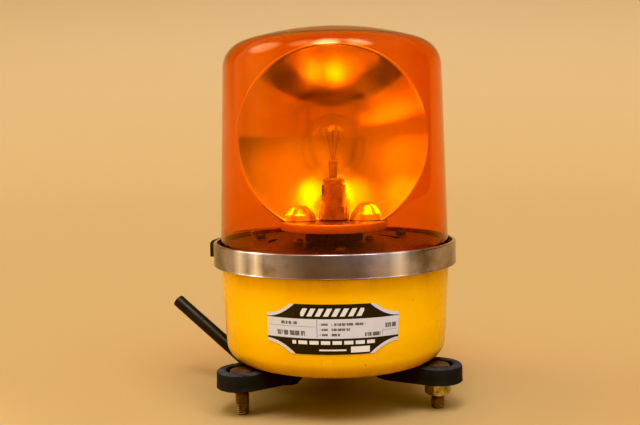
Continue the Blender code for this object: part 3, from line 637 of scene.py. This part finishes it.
PAINT = yellow_paint()
GEAR = metal("dark_gear", (0.030, 0.010, 0.006), (0.055, 0.018, 0.010), (0.5, 0.7), metallic=0.0)
BAND = brushed("brushed_stainless", (0.49, 0.445, 0.49), (0.10, 0.22), (0.09, 0.06, 0.065), 0.85)
SATIN = brushed("satin_steel", (0.60, 0.57, 0.54), (0.26, 0.42), wrap=False)
DARK = metal("dark_steel", (0.035, 0.030, 0.029), (0.075, 0.062, 0.058), (0.42, 0.6))
ZINC = metal("yellow_zinc", (0.42, 0.32, 0.13), (0.66, 0.55, 0.30), (0.26, 0.46), 150.0)
PLATE = metal("dark_sheet", (0.036, 0.009, 0.007), (0.050, 0.014, 0.012), (0.26, 0.36), 20.0, 0.02)
DISC = turned_disc()
NUT = metal("stained_zinc", (0.14, 0.10, 0.035), (0.62, 0.48, 0.20), (0.24, 0.42), 260.0)
CAP = metal("lamp_cap_nickel", (0.60, 0.52, 0.38), (0.78, 0.70, 0.55), (0.2, 0.34), 160.0)
BRASS = metal("turned_brass", (0.62, 0.42, 0.15), (0.78, 0.58, 0.27), (0.22, 0.4))
WIRE = metal("filament_wire", (0.35, 0.34, 0.33), (0.55, 0.54, 0.52), (0.25, 0.4))
LEADS = metal("lamp_leads", (0.10, 0.035, 0.015), (0.22, 0.08, 0.03), (0.3, 0.5))
RUST = rust()
STUD = stud_metal()
RUBBER = rubber()
SEAL = plastic("seal_rubber", (0.02, 0.02, 0.02), (0.6, 0.8))
BLACK = plastic("black_plastic", (0.012, 0.011, 0.011), (0.5, 0.7))
RED = plastic("red_insulation", (0.45, 0.02, 0.015), (0.3, 0.4))
MIRROR = mirror()
AMBER = amber()
GLASS = clear_glass()
STEM = plastic("pinched_glass", (0.34, 0.30, 0.26), (0.08, 0.16))
LABEL = label()
JACKET = jacket()


def dress(material, *names):
    """Give CAD nodes that stay a material and a smooth finish."""
    for name in names:
        node = NODES[name]
        node.data.materials.clear()
        node.data.materials.append(material)
        node.data.shade_smooth()
        node.data.set_sharp_from_angle(angle=math.radians(CAD_SHARP_ANGLE))


# ---------------------------------------- housing and nameplate


def make_housing():
    """A cup with a round lower corner and a rim turned out, drilled below."""
    centre = (LOW_R - CORNER, WALL_LOW)
    profile = [(0.0, UNDERSIDE + SHEET)]
    profile += arc(centre, CORNER - SHEET, -90, 0, 9)
    profile += rounded([
        (TOP_R - SHEET, 60.0),
        (TOP_R - SHEET, RIM_TOP, 1.2),
        (RIM_R, RIM_TOP, 0.6),
        (RIM_R, WALL_TOP, 0.6),
        (TOP_R, WALL_TOP, 0.5),
        (LOW_R + SLOPE * 30.0, WALL_LOW + 30.0),
    ])
    profile += arc(centre, CORNER, 0, -90, 15)
    profile += [(0.0, UNDERSIDE)]
    shell = lathe("housing_shell", profile, PAINT, "body", "yellow_paint", ["housing"], 160)
    holes = []
    through = [(0.0, 20.0), (2.3, 20.0), (2.3, 34.0), (0.0, 34.0)]
    for angle in FEET.values():
        holes.append(lathe_mesh("hole", through, 20, centre=at(*polar(FIXING_R, angle, 0.0))))
    small = [(r * 0.87, z) for r, z in through]
    for angle in VENTS:
        holes.append(lathe_mesh("hole", small, 20, centre=at(*polar(VENT_R, angle, 0.0))))
    entry = [(r * 1.74, z) for r, z in through]
    holes.append(lathe_mesh("hole", entry, 24, centre=at(-30.5, 0.6, 0.0)))
    carve(shell, holes)


def make_nameplate():
    """The plate's outline has hollow corners, on a wall that leans out."""
    columns, rows = 96, 5
    middle = math.radians(-1.5)
    bm = bmesh.new()
    wrap = bm.loops.layers.uv.new("wrap")
    grid, places = {}, {}
    for layer, proud in enumerate((0.13, 0.42)):
        for i in range(columns + 1):
            s = -PLATE_HALF + 2 * PLATE_HALF * i / columns
            share = min(1.0, (PLATE_HALF - abs(s)) / 14.3)
            top = min(PLATE_HIGH, 7.85 + 5.7 * share * share)
            for j in range(rows + 1):
                v = top * (2 * j / rows - 1)
                edge = 0.1 if (layer and (j in (0, rows) or i in (0, columns))) else 0.0
                radius = LOW_R + (PLATE_Z + v - WALL_LOW) * SLOPE + proud - edge
                turn = middle + s / WRAP_R
                spot = (radius * math.sin(turn), -radius * math.cos(turn), PLATE_Z + v)
                grid[layer, i, j] = bm.verts.new(at(*spot))
                places[layer, i, j] = (s * MM, v * MM)

    def face(keys):
        """A face whose UVs are its places on the flat film."""
        made = bm.faces.new([grid[k] for k in keys])
        for loop, key in zip(made.loops, keys):
            loop[wrap].uv = places[key]

    for i in range(columns):
        for j in range(rows):
            face([(1, i, j), (1, i + 1, j), (1, i + 1, j + 1), (1, i, j + 1)])
            face([(0, i, j), (0, i, j + 1), (0, i + 1, j + 1), (0, i + 1, j)])
        for j in (0, rows):
            face([(0, i, j), (0, i + 1, j), (1, i + 1, j), (1, i, j)])
    for j in range(rows):
        for i in (0, columns):
            face([(0, i, j), (0, i, j + 1), (1, i, j + 1), (1, i, j)])
    bmesh.ops.recalc_face_normals(bm, faces=bm.faces)
    mesh = finished(bm, "nameplate_plate")
    add("nameplate_plate", mesh, LABEL, "body", ["nameplate"])


# ---------------------------------------- globe and band


def make_globe():
    """A thin clear shell: crown, round shoulder, leaning wall and flange."""
    centre = (SHOULDER_R - GLOBE_ROUND, SHOULDER_Z)

    def dome(crown, radius, count):
        """The crown, from the axis out, and the round of the shoulder."""
        edge = arc(centre, radius, 75, 0, 13)
        rim_r, rim_z = edge[0]
        rise = [(rim_r * i / count, crown - (crown - rim_z) * (i / count) ** 2) for i in range(count)]
        return rise + edge

    outer = dome(GLOBE_TOP, GLOBE_ROUND, 14)
    inner = dome(GLOBE_TOP - GLOBE_WALL, GLOBE_ROUND - GLOBE_WALL, 12)
    # Side walls in a few steps, so that the shading stays even.
    sides = []
    for share in (0.25, 0.5, 0.75):
        sides.append((SHOULDER_R + (FOOT_R - SHOULDER_R) * share, SHOULDER_Z + (FOOT_Z - SHOULDER_Z) * share))
    flange = rounded([
        (FOOT_R - 0.4, 99.0),
        (FOOT_R, FOOT_Z, 0.5),
        (71.2, FOOT_Z, 0.4),
        (71.2, 91.0, 0.4),
        (67.0, 91.0, 0.4),
        (66.8, 99.0),
    ])
    back = [(r - GLOBE_WALL, z) for r, z in reversed(sides)]
    profile = outer + sides + flange + back + inner[::-1]
    lathe("globe_shell", profile, AMBER, "globe_unit", "amber_lens", ["globe"], 160)


def make_band():
    """The clamp band, with a lip turned in over the flange and a gap at the latch."""
    profile = rounded([
        (BAND_IN - 1.0, 95.7, 0.3),
        (BAND_OUT, 95.7, 1.7),
        (BAND_OUT, 83.0, 0.2),
        (BAND_OUT + 0.25, 82.6, 0.2),
        (BAND_OUT - 0.3, 82.2, 0.3),
        (BAND_IN, 82.7, 0.2),
        (BAND_IN, 94.6, 0.7),
        (BAND_IN - 1.0, 94.6, 0.3),
    ], closed=True, steps=5)
    band = lathe("clamp_band_ring", profile, BAND, "globe_unit", "stainless_steel", ["clamp_band"], 192, True)
    carve(band, [box_mesh((4.0, 12.0, 20.0), at(*polar(BAND_OUT, LATCH_ANGLE, 89.0)), LATCH_ANGLE)])
    soften(NODES["latch_hanger"], 0.25)
    soften(NODES["latch_lever"], 0.3)
    soften(NODES["latch_keeper"], 0.2)
    dress(DARK, "latch_hanger")
    dress(SATIN, "latch_lever", "latch_keeper", "latch_bail")


# ---------------------------------------- works and mirror


def make_works():
    """Materials for the works, and a finer turntable with a skirt."""
    dress(PLATE, "chassis_plate")
    soften(NODES["chassis_plate"], 0.25)
    dress(SEAL, "globe_seal")
    posts = [f"chassis_{kind}_{side}" for kind in ("post", "screw") for side in ("front", "left", "right")]
    dress(BLACK, *posts)
    screws = [f"{kind}_screw_{side}" for kind in ("spindle", "bracket", "foot") for side in ("left", "right")]
    dress(ZINC, *screws, "foot_screw_rear", "reflector_bracket", "lampholder")
    dress(MIRROR, "reflector_screw")
    soften(NODES["reflector_bracket"], 0.3)
    soften(NODES["lampholder"], 0.15)
    dress(DARK, "spindle", "gearbox")
    dress(SATIN, "motor")
    dress(GEAR, "drive_gear")
    dress(BLACK, "terminal_block", "contact_plate", "wire_return")
    soften(NODES["drive_gear"], 0.12, 1)
    dress(BRASS, "motor_pinion", "contact_spring")
    dress(RED, "wire_live", "lamp_wire")
    skirt = rounded([
        (6.2, 105.6, 0.2),
        (6.2, DISC_TOP, 0.2),
        (32.6, DISC_TOP, 0.7),
        (32.1, 101.6, 0.3),
        (31.0, 101.6, 0.3),
        (31.2, 105.6, 0.6),
    ], closed=True)
    table = lathe("turntable_disc", skirt, DISC, "rotor", "zinc_plate", ["turntable"], 128, True)
    bore = [(0.0, 100.0), (1.7, 100.0), (1.7, 110.0), (0.0, 110.0)]
    carve(table, [lathe_mesh("hole", bore, 20, centre=at(side * 4.6, 17.6, 0.0)) for side in (-1, 1)])


def make_mirror():
    """A paraboloid with a rolled rim, flat below, open round the lamp, with two bosses at its foot."""

    def bowl(reach, steps, sink=0.0):
        """Points on the paraboloid from its middle out, as radius and depth."""
        radii = [reach * i / steps for i in range(steps + 1)]
        return [(r, r * r / (4 * FOCAL) - sink) for r in radii]

    rim = rounded([
        (55.6, 30.9),
        (56.3, 31.4, 0.4),
        (MIRROR_R, 31.4, 0.5),
        (MIRROR_R, 30.2, 0.5),
        (55.9, 29.9),
    ])
    profile = bowl(55.4, 28) + rim + bowl(55.3, 28, MIRROR_SHEET)[::-1]
    middle = Matrix.Translation(Vector((0.0, MIRROR_Y, MIRROR_Z)) * MM)
    upright = middle @ Matrix.Rotation(math.radians(90), 4, "X")
    coarse = ["reflector"]
    dish = lathe("mirror_dish", profile, MIRROR, "rotor", "mirror_reflector", coarse, 144, matrix=upright)
    floor = box_mesh((140.0, 120.0, 60.0), at(0.0, 0.0, DISC_TOP - 29.7))
    slot = lathe_mesh("slot", [(0.0, 90.0), (9.2, 90.0), (9.2, 118.5), (8.9, 120.2), (0.0, 120.2)], 48)
    hole = lathe_mesh("hole", [(0.0, -8.0), (1.8, -8.0), (1.8, 8.0), (0.0, 8.0)], 20, matrix=upright)
    bosses = []
    for x, top in ((-21.0, 116.4), (20.0, 117.8)):
        foot = [(9.6, 110.8, 5.0), (11.0, 106.0), (0.0, 106.0)]
        boss = rounded([(0.0, top), (4.8, top - 0.6, 4.0)] + foot, steps=6)
        bosses.append(lathe_mesh("boss", boss, 40, centre=at(x, -1.5, 0.0)))
    carve(dish, bosses, "UNION")
    carve(dish, [floor, slot, hole])


# ---------------------------------------- lamp


def bayonet_pin(side):
    """A short pin that stands out of the lamp's cap, along X."""
    middle = Matrix.Translation(Vector((side * 6.85, 0.0, 122.0)) * MM)
    turned = middle @ Matrix.Rotation(math.radians(90), 4, "Y")
    return lathe_mesh("pin", [(0.0, -1.0), (1.0, -1.0), (1.0, 1.0), (0.0, 1.0)], 20, matrix=turned)


def make_filament():
    """Two leads carry a coil in a shallow arc, with three supports between them."""
    half, high, dip = 6.6, 162.0, 1.0
    lead_in, start, coil_r = 1.2, 141.2, 0.34
    turns, sides, steps = 26, 10, 6

    def lift(along):
        return high - dip * (along / half) ** 2

    def on_lead(side, k):
        share = k / steps
        return at(side * (lead_in + (half - lead_in) * share), 0.0, start + (lift(half) - start) * share)

    points = [on_lead(-1, k) for k in range(steps)]
    for i in range(turns * sides + 1):
        turn = 2 * math.pi * i / sides
        along = -half + 2 * half * i / (turns * sides)
        points.append(at(along, coil_r * math.sin(turn), lift(along) + coil_r * math.cos(turn)))
    points += [on_lead(1, k) for k in range(steps - 1, -1, -1)]
    tube("lamp_filament", points, 0.1, WIRE, "lamp", ["bulb_filament"], 2)
    for number, along in enumerate((-3.8, 0.0, 3.8)):
        wire = [
            at(along * 0.12, 0.0, 142.6),
            at(along * 0.6, 0.5, 152.0),
            at(along, 0.75, lift(along) - 1.0),
            at(along, 0.75, lift(along) + 0.3),
        ]
        tube(f"lamp_support_{number}", wire, 0.13, LEADS, "lamp", resolution=2)


def make_lamp():
    """A bayonet cap, a thin glass ball on a neck, a pinched stem and the filament."""
    cap = rounded([
        (0.0, 116.0),
        (5.5, 116.0, 0.4),
        (5.5, 132.4, 0.2),
        (7.0, 132.4, 0.6),
        (7.0, 129.9, 0.4),
        (6.2, 129.7, 0.2),
        (6.2, 114.6, 0.5),
        (0.0, 114.6),
    ])
    cap = lathe("lamp_cap", cap, CAP, "lamp", "brass", ["bulb_cap"], 64)
    carve(cap, [bayonet_pin(side) for side in (-1, 1)], "UNION")
    inner_r, inner_neck = BALL_R - BALL_WALL, NECK_R - BALL_WALL
    outer = arc((0.0, BALL_Z), BALL_R, 90, -math.degrees(math.acos(NECK_R / BALL_R)), 34)
    inner = arc((0.0, BALL_Z), inner_r, -math.degrees(math.acos(inner_neck / inner_r)), 90, 34)
    # The ends of both arcs lie exactly on the axis.
    outer[0], inner[-1] = (0.0, BALL_Z + BALL_R), (0.0, BALL_Z + inner_r)
    profile = outer + [(NECK_R, 119.0), (inner_neck, 119.0)] + inner
    lathe("lamp_envelope", profile, GLASS, "lamp", "bulb_glass", ["bulb_glass"], 96)
    stem = rounded([
        (0.0, 143.0),
        (2.9, 143.0, 0.8),
        (2.6, 138.0, 1.5),
        (2.4, 125.0, 4.0),
        (3.9, 119.6, 0.3),
        (0.0, 119.6),
    ])
    lathe("lamp_stem", stem, STEM, "lamp", "bulb_glass", ["bulb_stem"], 40)
    make_filament()


# ---------------------------------------- lead


def make_lead():
    """A stiff stump of lead: a bend out of the elbow, then straight up to its cut end."""
    along = Vector((-0.881, 0.475, 0.0)).normalized()
    end = Vector((-59.55, 16.2, 18.65))
    slope, bend, straight, steps = math.radians(32.8), 34.0, 60.0, 12
    begin = end - along * (bend * math.sin(slope)) - Vector((0.0, 0.0, bend * (1 - math.cos(slope))))
    route = [begin]
    for i in range(1, steps + 1):
        turn = slope * i / steps
        route.append(begin + along * (bend * math.sin(turn)) + Vector((0, 0, bend * (1 - math.cos(turn)))))
    rising = along * math.cos(slope) + Vector((0.0, 0.0, math.sin(slope)))
    for i in range(1, steps + 1):
        route.append(end + rising * (straight * i / steps))
    points = [at(*p) for p in route]
    lead = tube("supply_lead", points, 4.0, JACKET, "body", ["power_lead"], 8)
    dress(RUBBER, "lead_elbow")
    soften(NODES["lead_elbow"], 0.8, 3)


# ---------------------------------------- feet


def placed(angle):
    """From a foot's own frame, with its length along X, to the row frame."""
    return Matrix.Translation(AXIS) @ Matrix.Rotation(math.radians(angle - 90.0), 4, "Z")


def stacked(bm, rings, name, place):
    """Skin a stack of rings, close both ends and move the result to its place."""
    size = len(rings[0])
    for a, b in zip(rings, rings[1:]):
        for k in range(size):
            n = (k + 1) % size
            bm.faces.new((a[k], a[n], b[n], b[k]))
    bm.faces.new(list(reversed(rings[0])))
    bm.faces.new(rings[-1])
    bmesh.ops.recalc_face_normals(bm, faces=bm.faces)
    bm.transform(place)
    return finished(bm, name)


def pad_mesh(angle):
    """A pad with round ends, softened edges and a ragged moulding line low down."""
    bm = bmesh.new()
    below = [(-0.9, 16.2), (-0.25, 16.35), (0.0, 16.8), (0.0, 17.3), (0.0, 20.0)]
    levels = below + [(-0.1, 24.6), (-0.35, 25.4), (-1.0, 25.85), (-1.6, 25.9)]
    rings = []
    count = 40
    for level, (offset, z) in enumerate(levels):
        ring = []
        for centre, begin in ((HUB_R, -90.0), (INNER_R, 90.0)):
            for k in range(count + 1):
                turn = math.radians(begin + 180.0 * k / count)
                ragged = 0.0
                if level == 2:
                    ragged = 0.16 + 0.16 * math.sin(9 * turn + 1.3 + centre) * math.sin(23 * turn + angle)
                radius = PAD_HALF + offset + ragged
                x, y = centre + radius * math.cos(turn), radius * math.sin(turn)
                ring.append(bm.verts.new((x * MM, y * MM, z * MM)))
        rings.append(ring)
    return stacked(bm, rings, "foot_pad", placed(angle))


def foot_place(angle, along):
    """A point on a foot's length, as the centre of something turned."""
    spot = placed(angle) @ Vector((along * MM, 0.0, 0.0))
    return Vector((spot.x, spot.y, 0.0))


def hex_meshes(low, high, place, turn, chamfer_low=True):
    """A hexagonal block, and the turned form that it is cut to, which chamfers its corners."""
    bm = bmesh.new()
    corner = BOLT_FLATS / 2 / math.cos(math.radians(30))
    size, depth = corner * MM, (high - low) * MM
    bmesh.ops.create_cone(bm, cap_ends=True, segments=6, radius1=size, radius2=size, depth=depth)
    bm.transform(Matrix.Rotation(math.radians(turn + 30.0), 4, "Z"))
    bm.transform(Matrix.Translation(place + Vector((0, 0, (low + high) / 2 * MM))))
    reach, cut, fall = corner + 0.3, BOLT_FLATS / 2 - 0.15, 1.0
    below = [(cut, low), (reach, low + fall)] if chamfer_low else [(reach, low)]
    round_off = [(0.0, low)] + below + [(reach, high - fall), (cut, high), (0.0, high)]
    return finished(bm, "hex"), lathe_mesh("chamfer", round_off, 64, centre=place)


def thread_mesh(place, low, high):
    """A round bar with a helical M8 thread and a bevelled lower end."""
    bm = bmesh.new()
    crest, root, pitch = 3.98, 3.38, 1.25
    steps, fine = 40, 8
    rows = int((high - low) / pitch * fine)
    rings = []
    for j in range(rows + 1):
        z = low + (high - low) * j / rows
        limit = crest if z > low + 1.0 else root - 0.5 + (z - low) * 1.1
        ring = []
        for k in range(steps):
            phase = (z / pitch - k / steps) % 1.0
            wave = min(1.0, max(0.0, 2.3 * abs(phase - 0.5) - 0.08))
            radius = min(limit, root + (crest - root) * wave)
            turn = 2 * math.pi * k / steps
            ring.append(bm.verts.new((radius * math.cos(turn) * MM, radius * math.sin(turn) * MM, z * MM)))
        rings.append(ring)
    return stacked(bm, rings, "thread", Matrix.Translation(place))


def make_feet():
    """Three rubber pads, each with a washer, a bolt head in a recess and a threaded stud."""
    recess = rounded([(0.0, 20.0), (8.4, 20.0, 0.5), (8.6, 25.4, 0.7), (9.6, 26.4), (9.6, 30.0), (0.0, 30.0)])
    hole = [(0.0, 10.0), (4.3, 10.0), (4.3, 22.0), (0.0, 22.0)]
    small = [(0.0, 10.0), (4.8, 10.0), (4.8, 19.5), (2.3, 19.5), (2.3, 30.0), (0.0, 30.0)]
    washer = rounded([(4.4, 20.3, 0.2), (4.4, 21.7, 0.2), (8.2, 21.7, 0.4), (8.2, 20.3, 0.3)], closed=True)
    bore = [(0.0, 5.0), (5.1, 5.0), (5.1, 8.4), (4.15, 9.3), (4.15, 14.9), (5.1, 15.7)]
    bore += [(5.1, 20.0), (0.0, 20.0)]
    for side, angle in FEET.items():
        pad = add(f"foot_pad_{side}", pad_mesh(angle), RUBBER, "body", [f"foot_{side}"])
        hub, fixing = foot_place(angle, HUB_R), foot_place(angle, FIXING_R)
        carve(pad, [
            lathe_mesh("cut", recess, 64, centre=hub),
            lathe_mesh("cut", hole, 40, centre=hub),
            lathe_mesh("cut", small, 40, centre=fixing),
        ])
        under = [f"foot_washer_{side}"]
        lathe(f"washer_{side}", washer, RUST, "body", "rusty_steel", under, 64, True, centre=hub)
        heading = angle - 90.0
        head, rim = hex_meshes(22.0, 25.6, hub, heading, False)
        bolt = add(f"stud_bolt_{side}", head, RUST, "body", [f"foot_bolt_{side}"])
        carve(bolt, [rim], "INTERSECT")
        add(f"stud_thread_{side}", thread_mesh(hub, 0.0, 22.0), STUD, "body")
        if side != "left":
            block, rim = hex_meshes(8.2, 15.9, hub, heading + 31.6)
            nut = add(f"stud_nut_{side}", block, NUT, "body", [f"foot_nut_{side}"])
            carve(nut, [rim], "INTERSECT")
            carve(nut, [lathe_mesh("cut", bore, 40, centre=hub)])


# ---------------------------------------- stage, light and camera


def make_sweep():
    """A pale floor that sweeps up into a pale wall, in metres."""
    front, bend_y, bend_r, top, half_width = -3.0, 1.6, 1.2, 3.6, 5.0
    bm = bmesh.new()
    outline = [(front, 0.0)]
    outline += arc((bend_y, bend_r), bend_r, -90, 0, 16)
    outline += [(bend_y + bend_r, top)]
    rows = [[bm.verts.new((x, y, z)) for x in (-half_width, half_width)] for y, z in outline]
    for a, b in zip(rows, rows[1:]):
        bm.faces.new((a[0], a[1], b[1], b[0]))
    mesh = finished(bm, "sweep")
    floor = bpy.data.objects.new("sweep", mesh)
    bpy.context.scene.collection.objects.link(floor)
    s = Shade("pale_floor")
    s.set(base_color=(0.375, 0.255, 0.116), roughness=0.6)
    mesh.materials.append(s.material)
    mesh.shade_smooth()


def make_pool():
    """A soft pool of light beside the object, out of view, brightens what the mirror sees."""
    light = bpy.data.lights.new("pool", "SPOT")
    light.energy = 230.0
    light.color = (1.0, 0.86, 0.62)
    light.spot_size = math.radians(30.0)
    light.spot_blend = 1.0
    light.shadow_soft_size = 0.05
    pool = bpy.data.objects.new("pool", light)
    pool.location = (-0.41, -0.20, 1.0)
    pool.visible_glossy = False
    bpy.context.scene.collection.objects.link(pool)


# Soft patches of light: direction from the front, height, inner and outer reach, all in
# degrees, and the colour that each adds. A colour below zero takes light away.
AMBIENT = (0.41, 0.285, 0.165)
SEEN = (0.84, 0.545, 0.285, 1.0)
SKY_STRENGTH = 0.82
PATCHES = [
    (0.0, 90.0, 4.0, 20.0, (-0.12, -0.09, -0.06)),
    (105.0, -4.0, 14.0, 34.0, (-0.22, -0.18, -0.14)),
    (180.0, 50.0, 25.0, 70.0, (0.50, 0.36, 0.20)),
    (38.0, 40.0, 8.0, 60.0, (0.86, 0.88, 0.92)),
    (43.0, 57.0, 3.0, 13.0, (7.5, 7.4, 7.3)),
    (-43.0, 60.0, 3.0, 17.0, (3.4, 3.3, 3.1)),
    (-88.0, 14.0, 10.0, 55.0, (0.62, 0.52, 0.36)),
    (-24.0, 26.0, 10.0, 50.0, (0.36, 0.31, 0.22)),
    (-93.0, 42.0, 4.0, 19.0, (4.2, 4.0, 3.6)),
    (-9.0, 63.0, 2.0, 13.0, (17.0, 16.9, 16.8)),
    (-6.0, 75.0, 2.0, 10.0, (9.0, 8.9, 8.8)),
    (46.0, 68.0, 3.0, 11.0, (6.0, 6.0, 6.0)),
    (-80.0, 18.0, 5.0, 24.0, (0.9, 0.75, 0.5)),
]


def make_world():
    """A warm room of soft light, plain where the camera sees it."""
    world = bpy.data.worlds.new("studio")
    bpy.context.scene.world = world
    world.use_nodes = True
    n = Nodes(world.node_tree)
    aim = n.node("TexCoord").outputs["Generated"]
    total = AMBIENT
    for side, height, inner, outer, colour in PATCHES:
        turn, rise = math.radians(side), math.radians(height)
        heading = (math.cos(rise) * math.sin(turn), -math.cos(rise) * math.cos(turn), math.sin(rise))
        near = n.node("VectorMath")
        near.operation = "DOT_PRODUCT"
        n.put(near.inputs[0], aim)
        n.put(near.inputs[1], heading)
        full, none = math.cos(math.radians(inner)), math.cos(math.radians(outer))
        fade = n.node("MapRange", from_min=none, from_max=full)
        fade.interpolation_type = "SMOOTHSTEP"
        n.put(fade.inputs["Value"], near.outputs["Value"])
        patch = n.node("VectorMath")
        patch.operation = "SCALE"
        n.put(patch.inputs[0], colour)
        n.put(patch.inputs["Scale"], fade.outputs[0])
        total = n.maths("ADD", total, patch.outputs[0], kind="VectorMath")
    seen = n.mix(n.node("LightPath").outputs["Is Camera Ray"], total, SEEN)
    n.fill(n.tree.nodes["Background"], {"color": seen, "strength": SKY_STRENGTH})


# The camera, fitted to the object: place in millimetres, lens in millimetres, turns in degrees.
CAMERA_PLACE = (0.0, -476.5, 150.6)
CAMERA_LENS = 44.4375
YAW, PITCH, ROLL = -1.008, 4.67, -0.96


def make_camera():
    """A camera looking slightly down at the front, and the picture's contrast."""
    yaw, pitch, roll = math.radians(YAW), math.radians(PITCH), math.radians(ROLL)
    ahead = Vector((math.cos(pitch) * math.sin(yaw), math.cos(pitch) * math.cos(yaw), -math.sin(pitch)))
    across = Vector((math.cos(yaw), -math.sin(yaw), 0.0))
    upward = across.cross(ahead)
    right = across * math.cos(roll) + upward * math.sin(roll)
    above = upward * math.cos(roll) - across * math.sin(roll)
    data = bpy.data.cameras.new("camera")
    data.sensor_width = 36.0
    data.lens = CAMERA_LENS
    data.clip_start = 0.01
    obj = bpy.data.objects.new("camera", data)
    turn = Matrix((right, above, -ahead)).transposed().to_4x4()
    obj.matrix_world = Matrix.Translation(at(*CAMERA_PLACE)) @ turn
    bpy.context.scene.collection.objects.link(obj)
    bpy.context.scene.camera = obj
    view = bpy.context.scene.view_settings
    view.view_transform = "Standard"
    view.look = "Medium High Contrast"
    view.use_curve_mapping = True
    view.curve_mapping.black_level = (0.002, 0.007, 0.015)


make_camera()
make_lead()
make_housing()
make_nameplate()
make_globe()
make_band()
make_works()
make_mirror()
make_lamp()
make_feet()
make_sweep()
make_pool()
make_world()
